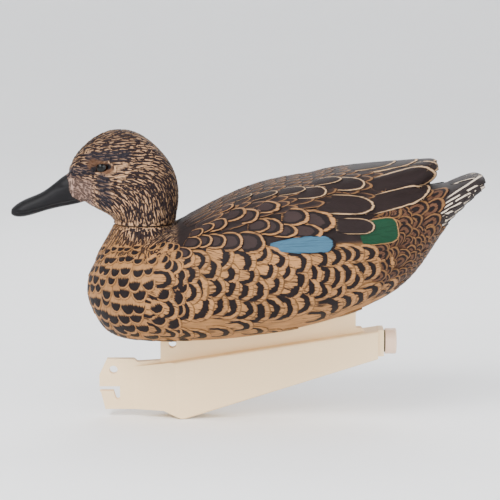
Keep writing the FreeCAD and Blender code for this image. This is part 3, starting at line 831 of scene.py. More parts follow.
class DECOY_OT_body(bpy.types.Operator):
    """Make the body's closed skin over the hollow moulding"""
    bl_idname = "decoy.body"
    bl_label = "Body Skin"

    def execute(self, context):
        centre_x, radius, foot, top = upright_round("neck_socket")
        work = welded_copy("body_shell")
        add_disc_plug(work, radius + 0.2 * MM, foot, top - 0.1 * MM, centre_x)
        drop_hidden_faces(work)
        skin = remeshed(BODY_SKIN, work, sizes().body_grain)
        shade_smooth(skin.data)
        places = positions(skin.data)
        pale, dark = plumage_colours(places)
        neck = smoothstep(47, 52, places[:, 2] / MM) * smoothstep(48, 53, places[:, 0] / MM)
        set_attribute(skin.data, "ground", body_ground(places), "FLOAT_COLOR")
        set_attribute(skin.data, "pale", pale, "FLOAT_COLOR")
        set_attribute(skin.data, "dark", dark, "FLOAT_COLOR")
        set_attribute(skin.data, "neck", neck)
        dress(skin, skin_finish())
        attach(skin, "hull")
        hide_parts("body_shell")
        return {"FINISHED"}


def lay_rows(name, feathers, cells, curve, material, lift=1.0, root_width=ROOT_WIDTH, crown_share=1.0):
    """Bends the feathers onto the body as one piece."""
    guide = feathers.guide(name + "_guide")
    blank = feather_blank(name + "_blank", cells, curve, root_width, crown_share)
    piece = grown_piece(name, guide, row_tree(), {
        "Feather": blank,
        "Skin": bpy.data.objects[BODY_SKIN],
        "Root sink": sizes().root_sink,
        "Tip lift": sizes().tip_lift * lift,
        "Finish": material,
    })
    bpy.data.objects.remove(guide)
    bpy.data.objects.remove(blank)
    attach(piece, "hull")


BREAST_TOP, BREAST_END = 59.0, -12      # heights between which the breast's rings lie
BREAST_AXIS, BREAST_BACK = 56.0, 53     # x of the rings' upright axis, and of their ends
BREAST_GROWTH = 46.0                    # depth over which the feathers grow to full size
BREAST_OVERLAP = 0.84                   # distance between two feathers in widths
BREAST_HALF_TURN = 2.1                  # how far round a ring goes on each side, in radians


class DECOY_OT_breast(bpy.types.Operator):
    """Lay the rings of small feathers with dark crescents on the breast"""
    bl_idname = "decoy.breast"
    bl_label = "Breast Feathers"

    def execute(self, context):
        skin = Skin()
        feathers = Feathers(11)
        z, row = BREAST_TOP, 0
        while z > BREAST_END:
            grown = min(1, (BREAST_TOP - z) / BREAST_GROWTH) ** 0.7
            pitch = 4.6 + 3.8 * grown
            width = 6.8 + 7.4 * grown
            front = skin.around(BREAST_AXIS, 0, max(z, -4.0))
            step = width * BREAST_OVERLAP / (front[0].x / MM - BREAST_AXIS)
            count = int(BREAST_HALF_TURN / step)
            for k in range(-count, count + 1):
                turn = (k + 0.5 * (row % 2) + feathers.draw(-0.2, 0.2)) * step
                hit = skin.around(BREAST_AXIS, turn, z + feathers.draw(-0.3, 0.3) * pitch)
                if hit is None or hit[0].x < BREAST_BACK * MM:
                    continue
                droop = 8 + 82 * float(smoothstep(56, 76, hit[0].x / MM))
                grow = feathers.draw(0.86, 1.12)
                direction = flow(droop + feathers.draw(-9, 9))
                feathers.add(hit, direction, pitch * 1.95 * grow, width * grow)
            z -= pitch
            row += 1
        material = painted_feather("breast paint", ROUND, tone("tan"), [
            (tone("mark"), MIDDLE, 0.82, 0.0, 0.42),
            (tone("tan", 0.55), 0.93, PAST_EDGE, 0.0, 0.3),
        ], 0.55, 0.12)
        lay_rows("breast_feathers", feathers, (6, 6), ROUND, material)
        return {"FINISHED"}


# Flank feathers: x, height and width. Each row runs from the breast to the rump.
FLANK_FEATHERS = [
    (54, -10, 12), (42, -11, 13), (30, -10, 13), (18, -9, 13), (5, -8, 13), (-8, -8, 13), (-24, -7, 13),
    (-44, -4, 12), (-57, 0, 12), (-80, 9, 12), (-92, 15, 12), (-97, 30, 14), (-94, 42, 13),
    (57, -3, 13), (48, -5, 14), (38, -5, 16), (27, -5, 16), (12, -3, 16), (-1, 2, 14), (-11, -2, 14),
    (-20, -2, 12), (-31, -1, 14), (-40, 0, 12), (-50, 0, 12), (-64, 5, 13), (-74, 12, 12), (-86, 17, 12),
    (57, 10, 14), (48, 10, 16), (38, 8, 18), (25, 12, 22), (15, 15, 18), (7, 13, 18), (-3, 10, 18),
    (-12, 10, 22), (-21, 11, 18), (-30, 11, 22), (-41, 15, 19), (-52, 9, 17), (-60, 14, 23),
    (-69, 19, 18), (-77, 21, 18), (-86, 27, 16), (-95, 25, 12),
    (52, 20, 15), (43, 19, 16), (33, 22, 16), (28, 27, 20), (17, 27, 17), (8, 25, 17), (-1, 25, 17),
    (-11, 24, 18), (-21, 28, 17), (-33, 24, 15), (-44, 25, 14), (-52, 24, 14), (-62, 26, 15), (-73, 30, 16),
    (50, 31, 13), (42, 29, 13), (34, 36, 14), (20, 36, 15), (8, 35, 15), (-5, 34, 14), (-17, 36, 16),
    (-28, 36, 15), (-37, 32, 18), (-46, 34, 15), (-54, 35, 15), (-61, 35, 17), (-68, 37, 16),
    (-77, 39, 16), (-85, 40, 15),
    (46, 39, 11), (37, 44, 12), (27, 44, 14), (12, 44, 18), (-3, 43, 17), (-13, 46, 13), (-24, 43, 14),
    (-39, 43, 16), (-52, 42, 14), (-61, 45, 13), (-67, 48, 12), (-74, 48, 12), (-83, 50, 12),
]


class DECOY_OT_flank(bpy.types.Operator):
    """Lay the rows of large barred feathers on both flanks"""
    bl_idname = "decoy.flank"
    bl_label = "Flank Feathers"

    def execute(self, context):
        skin = Skin()
        feathers = Feathers(23)
        for side in (LEFT, RIGHT):
            for x, height, width in FLANK_FEATHERS:
                droop = 6 + feathers.draw(-14, 14)
                length = 15 + 0.4 * width
                feathers.add(skin.seen(x, height, side), flow(droop), length, 1.18 * width, True,
                             feathers.draw(0.6, 1.3))
        material = painted_feather("flank paint", BROAD, tone("tan"), [
            (tone("mark"), 0.44, 0.76, 0.2, 0.16),
            (tone("tan", 0.4), 0.95, PAST_EDGE, 0.0, 0.3),
        ], 0.95, 0.17, tone("mark"))
        lay_rows("flank_feathers", feathers, (6, 7), BROAD, material)
        return {"FINISHED"}


SHOULDER_FEATHERS = [
    # tip x, tip height, width, length, droop
    (38.8, 47.7, 9, 12, 10), (32.7, 54.5, 10, 13, 8), (25.2, 55.8, 10.5, 14, 6),
    (16.3, 55.8, 12, 15, 5), (5.4, 55.6, 14, 17, 4), (-8.9, 55.4, 16, 20, 2),
    (31.3, 62.7, 8, 11, -8), (24.0, 66.0, 9, 13, -8), (15.4, 68.2, 11.5, 15, -8), (3.5, 75, 13, 17, -8),
    (11.0, 79.5, 8, 14, -14), (-5.3, 72.7, 13, 17, 0), (-12.0, 66.5, 11, 16, 2),
    (-20.8, 65.4, 13, 19, 4), (-19.3, 78.3, 11.5, 20, 2),
    (-30.0, 62.5, 10, 18, 6), (-37.8, 71.8, 14, 20, 4), (-46.0, 62.0, 11, 22, 6), (-54.4, 68.4, 17, 30, 4),
]

COVERT_FEATHERS = [
    # tip x, tip height, width, length, droop
    (-1.0, 87.0, 7, 24, -16), (-17.7, 88.4, 8, 27, -12), (-36, 90.6, 9, 26, -6), (-49.7, 88.8, 12, 28, -2),
    (-60.0, 97.0, 9, 30, -6), (-80.6, 79.5, 15.5, 42, 2), (-74.9, 93.9, 12.5, 38, -2), (-80.5, 66, 11, 28, 2),
]

LONG_FEATHERS = [
    # root x and height, tip x and height, width
    (-44, 103, -98, 110, 7), (-58, 102, -110, 110.6, 7), (-80, 105, -122.5, 110.4, 7),
    (-76, 98, -122, 107.0, 8.5), (-70, 90.5, -118.5, 102.2, 12.5), (-69, 77.5, -114.5, 90.2, 14),
]


MANTLE_ROWS, MANTLE_FRONT, MANTLE_PITCH = 15, 47, 8.0
MANTLE_GAP, MANTLE_LENGTH = 5.4, 24
FACES_UP = 0.3                  # least upward share of a normal for a feather of the back


def both_sides(skin, seed, rows, lift, growth=0.05):
    """Feathers given by their tips, on both sides, each lifted a little more than the last."""
    feathers = Feathers(seed)
    for side in (LEFT, RIGHT):
        for step, (x, height, width, length, droop) in enumerate(rows):
            turn = math.radians(droop)
            root = skin.seen(x + length * math.cos(turn), height + length * math.sin(turn), side)
            feathers.span(root, skin.seen(x, height, side), width, lift + growth * step)
    return feathers


def spans(skin, seed, rows, lift, growth=0.16):
    """Feathers given by roots and tips, on both sides, pressed on as seen from the side."""
    feathers = Feathers(seed)
    for side in (LEFT, RIGHT):
        for step, (root_x, root_height, tip_x, tip_height, width) in enumerate(rows):
            root, tip = skin.seen(root_x, root_height, side), skin.seen(tip_x, tip_height, side)
            feathers.span(root, tip, width, lift + growth * step, skin.toward_eye(side))
    return feathers


class DECOY_OT_wings(bpy.types.Operator):
    """Lay the mantle, shoulder, covert and long feathers of the folded wings"""
    bl_idname = "decoy.wings"
    bl_label = "Wing Feathers"

    def execute(self, context):
        skin = Skin()
        # rim: dark line of painted shade along the edge of each shoulder, covert, long and mantle feather
        rim = shade_line_rim(0.955)
        self.mantle(skin, rim)
        lay_rows("shoulder_feathers", both_sides(skin, 37, SHOULDER_FEATHERS, 1.2), (8, 8), BROAD,
                 painted_feather("shoulder paint", BROAD, tone("buff"), [
                     (tone("mark"), MIDDLE, 0.8, 0.0, 0.0),
                     (tone("wing", 1.9), MIDDLE, 0.56, 0.0, 0.1),
                     rim,
                 ], 0.8, 0.14, tone("back")), 1.6)
        lay_rows("covert_feathers", both_sides(skin, 41, COVERT_FEATHERS, 1.3), (8, 9), LOBE,
                 painted_feather("covert paint", LOBE, tone("cream"), [
                     (tone("wing"), MIDDLE, 0.89, 0.0, 0.0),
                     rim,
                 ], 0.4, 0.05), 1.8)
        lay_rows("long_wing_feathers", spans(skin, 43, LONG_FEATHERS, 1.4), (8, 10), BLADE,
                 painted_feather("long feather paint", BLADE, tone("cream"), [
                     (tone("wing"), MIDDLE, 0.86, 0.0, 0.0),
                     rim,
                 ], 0.4, 0.07), 2.0)
        return {"FINISHED"}

    def mantle(self, skin, rim):
        """Feathers of the back in rows across it, seen from above."""
        feathers = Feathers(31)
        for row in range(MANTLE_ROWS):
            x = MANTLE_FRONT - row * MANTLE_PITCH
            half = min(8, 5 + row)
            for k in range(-half, half + 1):
                y = (k + 0.5 * (row % 2)) * MANTLE_GAP + feathers.draw(-0.8, 0.8)
                hit = skin.above(x + feathers.draw(-2, 2), y)
                if hit and hit[1].z > FACES_UP:
                    lean = -0.10 * math.copysign(1, y)
                    feathers.add(hit, Vector((-1, lean, 0)), MANTLE_LENGTH, feathers.draw(5.6, 8.0))
        edge = tuple(a + b for a, b in zip(tone("back", 0.55), tone("buff", 0.45)))
        material = painted_feather("mantle paint", SLIM, tone("back"), [
            (tone("wing"), MIDDLE, 0.5, 0.0, 0.1),
            (edge, 0.8, 0.95, 0.0, 0.3),
            rim,
        ], 0.8, 0.16, tone("mark"))
        lay_rows("mantle_feathers", feathers, (4, 7), SLIM, material)


class DECOY_OT_patches(bpy.types.Operator):
    """Lay the blue and green wing patches"""
    bl_idname = "decoy.patches"
    bl_label = "Wing Patches"

    def execute(self, context):
        skin = Skin()
        # the blue patch's last mark is a dark line of painted shade along its feathers' edges
        lay_rows("blue_patch", spans(skin, 47, [(-9, 53, -54, 55, 11.5)], 2.6), (8, 10), BLUE_BLOCK,
                 painted_feather("blue paint", BLUE_BLOCK, tone("blue"), [shade_line_rim(0.93, 0.0)], 0.6, 0.24),
                 1.6, root_width=0.3)
        lay_rows("green_patch", spans(skin, 53, [(-68, 61, -94.5, 65, 17)], 2.2), (8, 8), GREEN_BLOCK,
                 painted_feather("green paint", GREEN_BLOCK, tone("green"), [
                     (tone("buff"), 0.93, PAST_EDGE, 0.0, 0.2),
                 ], 0.5, 0.04), 1.3, root_width=0.9)
        return {"FINISHED"}


TAIL_COVERTS = [
    # tip x, tip height, width, length, droop
    (-113, 73, 11, 18, -30), (-117, 82, 11, 18, -26), (-121, 91, 11, 18, -20), (-126, 74.5, 11, 18, -34),
    (-128, 83.5, 11, 18, -30), (-131.5, 92, 11, 18, -24), (-122, 66, 10, 16, -36),
]


RUMP_LENGTH, RUMP_WIDTH = 11, 8.6
RUMP_AXIS = -80.0               # x of the upright axis of the rear rings
RUMP_FRONT, RUMP_PITCH = -78, 5.4
RING_FRONT, RING_PITCH, RING_TURN = -88, 5.0, 0.15


class DECOY_OT_rump(bpy.types.Operator):
    """Lay the small rusty scales on the rump and the tail coverts"""
    bl_idname = "decoy.rump"
    bl_label = "Rump Feathers"

    def execute(self, context):
        skin = Skin()
        feathers = Feathers(59)
        for side in (LEFT, RIGHT):
            self.side_rows(skin, feathers, side)
        self.rear_rings(skin, feathers)
        marks = [
            (tone("mark"), 0.5, 0.76, 0.2, 0.1),
            (tone("mark"), MIDDLE, 0.24, 0.0, 0.2),
            (tone("buff", 0.5), 0.8, 0.93, 0.0, 0.3),
            # dark line of painted shade along each feather's edge, where it lies over the next
            shade_line_rim(0.96),
        ]
        material = painted_feather("rump paint", ROUND, tone("rust"), marks, 0.8, 0.26, tone("mark"))
        lay_rows("rump_feathers", feathers, (4, 5), ROUND, material)
        material = painted_feather("tail covert paint", ROUND, tone("rust"), marks, 0.6, 0.2, tone("mark"))
        lay_rows("tail_coverts", both_sides(skin, 67, TAIL_COVERTS, 1.3), (6, 6), ROUND, material)
        return {"FINISHED"}

    def side_rows(self, skin, feathers, side):
        """Upright rows on one side, between the flank, the wing tips and the tail."""
        for column in range(7):
            x = RUMP_FRONT - column * RUMP_PITCH
            for k in range(15):
                height = 12 + k * 6.4 + 3.2 * (column % 2) + feathers.draw(-1, 1)
                if height < -1.35 * (x - RUMP_AXIS) - 4 or height > 96 + 1.2 * (x - RUMP_FRONT):
                    continue
                tilt = -22 - 14 * (column / 8) + feathers.draw(-26, 26)
                grow = feathers.draw(0.8, 1.25)
                hit = skin.seen(x + feathers.draw(-1.2, 1.2), height, side)
                feathers.add(hit, flow(tilt), RUMP_LENGTH * grow, RUMP_WIDTH * grow)

    def rear_rings(self, skin, feathers):
        """Rings round the rear end, under the tail."""
        for row in range(13):
            for k in range(-7, 8):
                turn = math.pi + (k + 0.5 * (row % 2)) * RING_TURN
                hit = skin.around(RUMP_AXIS, turn, 2 + row * RING_PITCH + feathers.draw(-1, 1))
                if hit and hit[0].x < RING_FRONT * MM and hit[1].z < 0.2:
                    grow = feathers.draw(0.85, 1.2)
                    direction = Vector((-1, feathers.draw(-0.3, 0.3), 1))
                    feathers.add(hit, direction, RUMP_LENGTH * grow, RUMP_WIDTH * grow)


TAIL_FEATHERS = [
    # root x and height, tip x and height, width
    (-113.7, 64.7, -133.5, 74.2, 7.5), (-117, 67.4, -140.3, 80.4, 7.5), (-120.5, 71.5, -147.1, 87.2, 7.5),
    (-122.6, 75.6, -151.9, 91.9, 7.5), (-125.3, 79.7, -155.4, 97.6, 7.5), (-128, 85.1, -155.6, 101.6, 7.0),
    (-130.8, 89.9, -153.6, 103.6, 6.5), (-133.5, 93.3, -150.5, 104.6, 6),
]


class DECOY_OT_tail(bpy.types.Operator):
    """Lay the long edged feathers of the cocked tail"""
    bl_idname = "decoy.tail"
    bl_label = "Tail Feathers"

    def execute(self, context):
        skin = Skin()
        material = painted_feather("tail paint", STRIP, tone("tail"), [
            (tone("edging"), 0.66, 0.9, 0.0, 0.15),
            # dark line of painted shade along each tail feather's edge
            shade_line_rim(0.92),
        ], 0.5, 0.05)
        lay_rows("tail_feathers", spans(skin, 61, TAIL_FEATHERS, 0.9, 0.3), (4, 10), QUILL, material,
                 crown_share=0.0)
        lay_rows("tail_top_feathers", self.fan(skin), (4, 10), QUILL, material)
        return {"FINISHED"}

    def fan(self, skin):
        """Feathers on the upper side of the tail, fanned from its middle."""
        feathers = Feathers(71)
        for k in (3, -3, 2, -2, 1, -1, 0):
            root, tip = skin.above(-132, 2.6 * k), skin.above(-154.5 + 1.2 * abs(k), 4.0 * k)
            feathers.span(root, tip, 6.4, 1.6 - 0.15 * abs(k))
        return feathers


# ---- head ----

FACE_LINE_Z = [80, 85.5, 89.2, 93.3, 98.7, 103, 108]
FACE_LINE_X = [112, 116, 121.2, 123.3, 123.4, 125.5, 126.5]


def bill_reach(places):
    """How far a point is in front of the line between the face and the bill."""
    line = np.interp(places[:, 2] / MM, FACE_LINE_Z, FACE_LINE_X)
    return places[:, 0] - line * MM


def near_line(x, z, start, end, half):
    """1 on a line in the side view, falling to 0 at its half width."""
    along = np.array(end, float) - np.array(start, float)
    share = np.clip(((x - start[0]) * along[0] + (z - start[1]) * along[1]) / (along @ along), 0, 1)
    gap = np.hypot(x - start[0] - share * along[0], z - start[1] - share * along[1])
    return 1 - smoothstep(half * 0.6, half, gap)


def plumage_colours(places):
    """Pale and dark region colours of the head, the neck and the top of the breast."""
    x, z = places[:, 0] / MM, places[:, 2] / MM
    names = ("head_dark", "head_pale", "slate", "cheek", "eyelid", "tan")
    dark0, pale0, slate, cheek, eyelid, tan = (np.array(tone(name)) for name in names)
    dark = np.tile(dark0, (len(places), 1))
    pale = np.tile(pale0, (len(places), 1))

    def wash(target, colour, share):
        target += (colour - target) * share[:, None]

    crown = smoothstep(119, 130, z + 0.12 * (x - 90))
    nape = smoothstep(70, 55, x)
    forehead = smoothstep(104, 114, x) * smoothstep(108, 112, z)
    wash(pale, pale0 * 0.3, np.clip(crown * 0.75 + nape * 0.8 + forehead * 0.4, 0, 0.9))
    throat = smoothstep(80, 94, x) * smoothstep(84, 68, z)
    wash(pale, tan, throat * 0.8)
    wash(dark, tan * 0.3, throat * 0.3)
    low = smoothstep(66, 54, z)
    wash(pale, tan, low)
    wash(dark, tan * 0.25, low * smoothstep(58, 76, x) * 0.4)
    face = smoothstep(103, 110, x) * smoothstep(104, 99, z)
    wash(pale, cheek, face)
    wash(dark, cheek * 0.4, face * 0.6)
    bands = [((126, 104), (107, 108.5), 4.4), ((109, 116), (84, 118), 4.0), ((100, 102), (98, 86), 5.4)]
    for start, end, half in bands:
        share = near_line(x, z, start, end, half)
        wash(pale, slate * 2.2, share * 0.75)
        wash(dark, slate, share * 0.9)
    light = near_line(x, z, (97, 104.5), (84, 112), 1.3)
    wash(pale, pale0, light)
    wash(dark, pale0 * 0.7, light)
    ring = near_line(x, z, (106.5, 111.0), (97, 108.8), 5.0)
    wash(pale, eyelid * 1.2, ring)
    wash(dark, eyelid * 0.85, ring)
    lid = near_line(x, z, (106.4, 108.1), (96.0, 110.2), 2.4)
    wash(pale, slate * 0.4, lid)
    wash(dark, slate * 0.4, lid)
    return opaque(pale), opaque(dark)


def head_flow(places, normals):
    """Direction of the head's feathers: back over the skull and down the neck."""
    x, z = places[:, 0] / MM, places[:, 2] / MM
    droop = math.radians(88) * smoothstep(0, 1, (112 - z) / 32 - (x - 80) / 60)
    droop = droop + math.radians(12) * smoothstep(100, 112, x)
    flows = np.column_stack([-np.cos(droop), np.zeros(len(x)), -np.sin(droop)])
    return laid_flat(flows, normals)


MOUTH_X = [116, 125, 134, 144, 154, 161]
MOUTH_Z = [86.6, 84.6, 83.0, 80.2, 77.8, 77.6]
NOSTRIL_X, NOSTRIL_Z = 131, 95.5


def carve_bill(mesh):
    """Presses the line of the mouth and the nostrils into the bill."""
    places, sideways = positions(mesh), np.abs(normals_of(mesh)[:, 1])
    x, z = places[:, 0] / MM, places[:, 2] / MM
    over_mouth = z - np.interp(x, MOUTH_X, MOUTH_Z)
    front = smoothstep(117, 120, x) * smoothstep(162, 159, x) * smoothstep(0.3, 0.6, sideways)
    groove = np.exp(-(over_mouth / 0.9) ** 2) * front
    lip = np.exp(-((over_mouth - 1.9) / 1.0) ** 2) * front
    nostril = np.exp(-((x - NOSTRIL_X) / 3.0) ** 2 - ((z - NOSTRIL_Z) / 1.1) ** 2)
    pressed_in(mesh, 0.55 * groove + 0.7 * nostril * smoothstep(0.2, 0.6, sideways) - 0.3 * lip)


EYE_SLOPE = 0.12                # how far the eye's opening drops towards the bill
COVER_MARGIN = 4.5              # lowest places of the head's feathers over the neck's seam


class DECOY_OT_head(bpy.types.Operator):
    """Make the head's closed skin with its bill, and scatter its small feathers"""
    bl_idname = "decoy.head"
    bl_label = "Head"

    def execute(self, context):
        centre_x, radius, _, top = upright_round("neck_spigot")
        work = welded_copy("head_shell")
        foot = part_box("head_shell")[0].z + 0.1 * MM
        add_disc_plug(work, radius + 0.3 * MM, foot, top, centre_x)
        for node in ("left_eye", "right_eye"):
            eye = welded_copy(node)
            eye_mesh = bpy.data.meshes.new("eye_fill")
            eye.to_mesh(eye_mesh)
            eye.free()
            work.from_mesh(eye_mesh)
            bpy.data.meshes.remove(eye_mesh)
        drop_hidden_faces(work)
        skin = remeshed("head_skin", work, sizes().head_grain)
        shade_smooth(skin.data)
        carve_bill(skin.data)
        self.sink_eye_sockets(skin.data)
        self.mark_regions(skin.data)
        dress(skin, head_skin_finish())
        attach(skin, "head")
        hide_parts("head_shell")
        scatter_small_feathers("head_feathers", skin, "head")
        return {"FINISHED"}

    def sink_eye_sockets(self, mesh):
        """Raises almond-shaped lids over the upper and lower edge of each eye, which stands in a dish."""
        places, centre = positions(mesh), middle("left_eye")
        along = (places[:, 0] - centre.x) / MM
        up = (places[:, 2] - centre.z) / MM + EYE_SLOPE * along
        oval = np.hypot(along / 5.0, up / 2.7)
        dish = 1.6 * (1 - smoothstep(0.86, 1.06, oval))
        lid = 0.95 * smoothstep(0.94, 1.16, oval) * (1 - smoothstep(1.3, 2.3, oval))
        pressed_in(mesh, dish - lid)

    def mark_regions(self, mesh):
        """Writes where the head's colours, bill and feathers are, as attributes of its points."""
        places = positions(mesh)
        x, z = places[:, 0] / MM, places[:, 2] / MM
        pale, dark = plumage_colours(places)
        reach = bill_reach(places)
        centre = middle("left_eye") / MM
        eye = np.hypot((x - centre.x) / 6.6, (z - centre.z + EYE_SLOPE * (x - centre.x)) / 4.6)
        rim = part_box("head_shell")[0].z / MM
        cover = (reach < -1.2 * MM) & (eye > 1) & (z > rim + COVER_MARGIN)
        face = smoothstep(104, 110, x) * smoothstep(106, 100, z)
        set_attribute(mesh, "pale", pale, "FLOAT_COLOR")
        set_attribute(mesh, "dark", dark, "FLOAT_COLOR")
        set_attribute(mesh, "bill", reach)
        set_attribute(mesh, "cover", cover.astype(float))
        set_attribute(mesh, "grow", (1 - 0.4 * face) * (0.32 + 0.68 * smoothstep(rim + 3, rim + 10, z)))
        set_attribute(mesh, "flow", head_flow(places, normals_of(mesh)), "FLOAT_VECTOR")


def scatter_small_feathers(name, skin, body):
    """Small feathers over the part of a skin that its cover attribute marks."""
    size = sizes()
    blank = feather_blank(name + "_blank", (2, 4), TUFT, ROOT_WIDTH, 1.0)
    piece = grown_piece(name, skin, scatter_tree(), {
        "Feather": blank,
        "Gap": size.streak_gap,
        "Half width": size.streak_width / 2,
        "Length": size.streak_length,
        "Root sink": size.root_sink * 0.6,
        "Tip lift": size.tip_lift * 0.8,
        "Finish": head_feather_finish(),
    })
    bpy.data.objects.remove(blank)
    pale, dark = plumage_colours(positions(piece.data))
    for field, values in (("pale", pale), ("dark", dark)):
        if field in piece.data.attributes:
            piece.data.attributes.remove(piece.data.attributes[field])
        set_attribute(piece.data, field, values, "FLOAT_COLOR")
    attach(piece, body)


class DECOY_OT_neck(bpy.types.Operator):
    """Scatter small feathers over the stump of the neck, down to the breast"""
    bl_idname = "decoy.neck"
    bl_label = "Neck Feathers"

    def execute(self, context):
        skin = bpy.data.objects[BODY_SKIN]
        mesh = skin.data
        places = positions(mesh)
        x, y, z = (places[:, axis] / MM for axis in range(3))
        centre_x, _, _, top = upright_round("neck_socket")
        centre, seam = centre_x / MM, top / MM
        out = np.hypot(x - centre, y)
        cover = (z < seam - 0.5) & (z > 48 + 4 * (np.abs(y) > 22)) & (out < 37) & (x > 47)
        backward = np.where(x < centre, -0.5, 0.0) * smoothstep(64, 52, z)
        flows = np.column_stack([backward, np.zeros(len(x)), -np.ones(len(x))])
        set_attribute(mesh, "cover", cover.astype(float))
        set_attribute(mesh, "grow", np.ones(len(x)))
        set_attribute(mesh, "flow", laid_flat(flows, normals_of(mesh)), "FLOAT_VECTOR")
        scatter_small_feathers("neck_feathers", skin, "hull")
        return {"FINISHED"}


class DECOY_OT_eyes(bpy.types.Operator):
    """Give the eyes their dark glass"""
    bl_idname = "decoy.eyes"
    bl_label = "Eyes"

    def execute(self, context):
        finish = Finish("eye glass", 0.02, 0.24)
        centre = middle("left_eye")
        place = finish.node("ShaderNodeSeparateXYZ", Vector=finish.object_place())
        aside = [finish.maths("POWER", finish.minus(place.outputs[axis], centre[axis]), 2.0)
                 for axis in (0, 2)]
        out = finish.maths("SQRT", finish.plus(*aside))
        iris = finish.mix(finish.noise(finish.object_place(), 1400.0), paint(40, 22, 12), paint(20, 11, 7))
        pupil, iris_edge = 2.6 * MM, 3.0 * MM
        material = finish.colour(finish.mix(finish.step(out, pupil, iris_edge), paint(3, 3, 3), iris))
        for node in ("left_eye", "right_eye"):
            dress(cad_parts[node], material)
        return {"FINISHED"}


# ---- keel and hidden hardware ----

class DECOY_OT_keel(bpy.types.Operator):
    """Finish the keel, its plug and seal"""
    bl_idname = "decoy.keel"
    bl_label = "Keel"

    def execute(self, context):
        for node, material in (
            ("keel_shell", moulded_plastic("keel moulding", tone("keel"), 0.55)),
            ("keel_plug", moulded_plastic("plug moulding", tone("plug"), 0.34, 0.04)),
            ("plug_seal", moulded_plastic("seal rubber", paint(40, 38, 38), 0.7)),
        ):
            dress(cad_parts[node], material)
        return {"FINISHED"}


class DECOY_OT_hardware(bpy.types.Operator):
    """Finish the pieces inside the neck, the hull and the keel"""
    bl_idname = "decoy.hardware"
    bl_label = "Hidden Hardware"

    def execute(self, context):
        bearing = moulded_plastic("bearing plastic", paint(24, 22, 21), 0.4)
        rubber = moulded_plastic("black rubber", paint(32, 31, 31), 0.75)
        sand = moulded_plastic("sand", paint(176, 154, 112), 0.9, 0.2, 2400.0)
        for node in ("neck_socket", "neck_spigot"):
            dress(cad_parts[node], bearing)
        for node in ("friction_ring", "keel_gasket"):
            dress(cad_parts[node], rubber)
        dress(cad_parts["sand_ballast"], sand)
        for node in ("keel_screws", "retaining_clip"):
            dress(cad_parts[node], self.metal("turned steel", paint(170, 170, 172)))
        dress(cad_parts["hull_inserts"], self.metal("turned brass", paint(190, 150, 80)))
        return {"FINISHED"}

    def metal(self, name, colour):
        finish = Finish(name, 0.35, 0.5)
        finish.shader.inputs["Metallic"].default_value = 1.0
        rings = finish.noise(finish.object_place((300, 300, 2500)), 1.0, 2.0)
        finish.bump(rings, 0.15, 0.1 * MM)
        return finish.colour(finish.mix(rings, colour, tuple(0.7 * value for value in colour)))


# ---- stage ----

# Radius and height over the floor of each ring of the backdrop.
BACKDROP = [(1.2, 0.0), (1.6, 0.04), (1.95, 0.2), (2.2, 0.6), (2.3, 1.4), (2.3, 3.0)]

LAMPS = [
    # name, place, size, power in watts
    ("key", (0.6, 0.85, 1.15), 0.6, 22.0),
    ("fill", (-0.9, 0.9, 0.5), 0.9, 7.0),
    ("rim", (-0.2, -0.9, 0.9), 0.8, 9.0),
    ("upper glint", (0.42, 1.1, 0.62), 0.22, 5.0),
    ("rear glint", (-0.34, 1.15, 0.36), 0.16, 2.2),
]
LAMP_AIM = Vector((0, 0, 0.05))


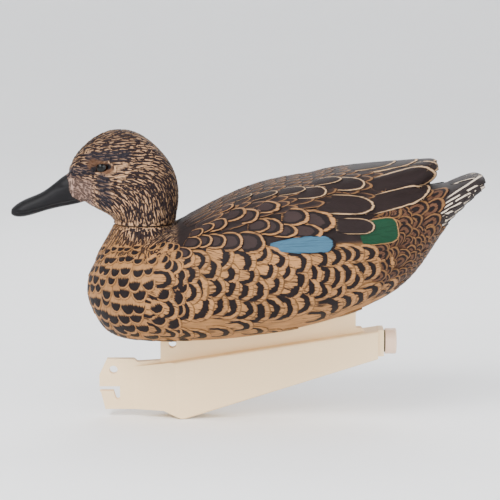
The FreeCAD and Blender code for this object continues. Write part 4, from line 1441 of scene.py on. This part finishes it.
class DECOY_OT_stage(bpy.types.Operator):
    """Set the floor, the soft lights and the camera"""
    bl_idname = "decoy.stage"
    bl_label = "Stage"

    def execute(self, context):
        stage = context.scene.decoy_stage
        self.floor()
        self.lights()
        tilt = stage.elevation
        aim = Vector((stage.aim_forward, 0, stage.aim_height))
        data = bpy.data.cameras.new("side view")
        data.lens = stage.lens
        distance = stage.lens / data.sensor_width * stage.view_width
        camera = bpy.data.objects.new("side view", data)
        context.scene.collection.objects.link(camera)
        toward = Vector((0, math.cos(tilt), math.sin(tilt)))
        camera.location = aim + toward * distance
        camera.rotation_euler = toward.to_track_quat("Z", "Y").to_euler()
        context.scene.camera = camera
        return {"FINISHED"}

    def floor(self):
        """Pale floor that sweeps up into a backdrop on every side."""
        level = CAD_BOX[0].z - 0.4 * MM
        segments = 64
        vertices = [(0, 0, level)]
        for radius, height in BACKDROP:
            for k in range(segments):
                angle = 2 * math.pi * k / segments
                vertices.append((radius * math.cos(angle), radius * math.sin(angle), level + height))
        faces = [(0, 1 + k, 1 + (k + 1) % segments) for k in range(segments)]
        for ring in range(len(BACKDROP) - 1):
            inner, outer = 1 + ring * segments, 1 + (ring + 1) * segments
            for k in range(segments):
                after = (k + 1) % segments
                faces.append((inner + k, outer + k, outer + after, inner + after))
        mesh = bpy.data.meshes.new("floor")
        mesh.from_pydata(vertices, [], faces)
        shade_smooth(mesh)
        floor = link("floor", mesh)
        finish = Finish("floor paper", 0.9)
        grain = finish.noise(finish.object_place(), 30.0, 3.0)
        dress(floor, finish.colour(finish.mix(grain, (0.93, 0.935, 0.94), (0.96, 0.96, 0.965))))

    def lights(self):
        world = bpy.data.worlds.new("studio")
        world.use_nodes = True
        world.node_tree.nodes["Background"].inputs["Color"].default_value = (0.95, 0.97, 1.0, 1)
        world.node_tree.nodes["Background"].inputs["Strength"].default_value = 1.05
        bpy.context.scene.world = world
        for name, place, size, power in LAMPS:
            data = bpy.data.lights.new(name, "AREA")
            data.size = size
            data.energy = power
            lamp = bpy.data.objects.new(name, data)
            lamp.location = place
            lamp.rotation_euler = (Vector(place) - LAMP_AIM).to_track_quat("Z", "Y").to_euler()
            bpy.context.scene.collection.objects.link(lamp)


class DECOY_PT_panel(bpy.types.Panel):
    bl_label = "Hen Teal Decoy"
    bl_idname = "DECOY_PT_panel"
    bl_space_type = "VIEW_3D"
    bl_region_type = "UI"
    bl_category = "Decoy"

    def draw(self, context):
        for group in (context.scene.decoy_stage, context.scene.decoy_sizes, context.scene.decoy_colours):
            box = self.layout.box()
            for name in group.__annotations__:
                box.prop(group, name)
        for operator in OPERATORS:
            self.layout.operator(operator.bl_idname)


OPERATORS = (
    DECOY_OT_stage, DECOY_OT_body, DECOY_OT_neck, DECOY_OT_breast, DECOY_OT_flank, DECOY_OT_wings,
    DECOY_OT_patches, DECOY_OT_rump, DECOY_OT_tail, DECOY_OT_head, DECOY_OT_eyes, DECOY_OT_keel,
    DECOY_OT_hardware,
)
CLASSES = (DecoyColours, DecoySizes, DecoyStage, *OPERATORS, DECOY_PT_panel)


def register():
    for cls in CLASSES:
        bpy.utils.register_class(cls)
    bpy.types.Scene.decoy_colours = bpy.props.PointerProperty(type=DecoyColours)
    bpy.types.Scene.decoy_sizes = bpy.props.PointerProperty(type=DecoySizes)
    bpy.types.Scene.decoy_stage = bpy.props.PointerProperty(type=DecoyStage)


def unregister():
    for name in ("decoy_colours", "decoy_sizes", "decoy_stage"):
        delattr(bpy.types.Scene, name)
    for cls in reversed(CLASSES):
        bpy.utils.unregister_class(cls)


def main():
    register()
    for operator in OPERATORS:
        group, name = operator.bl_idname.split(".")
        getattr(getattr(bpy.ops, group), name)()


if __name__ == "__main__":
    main()
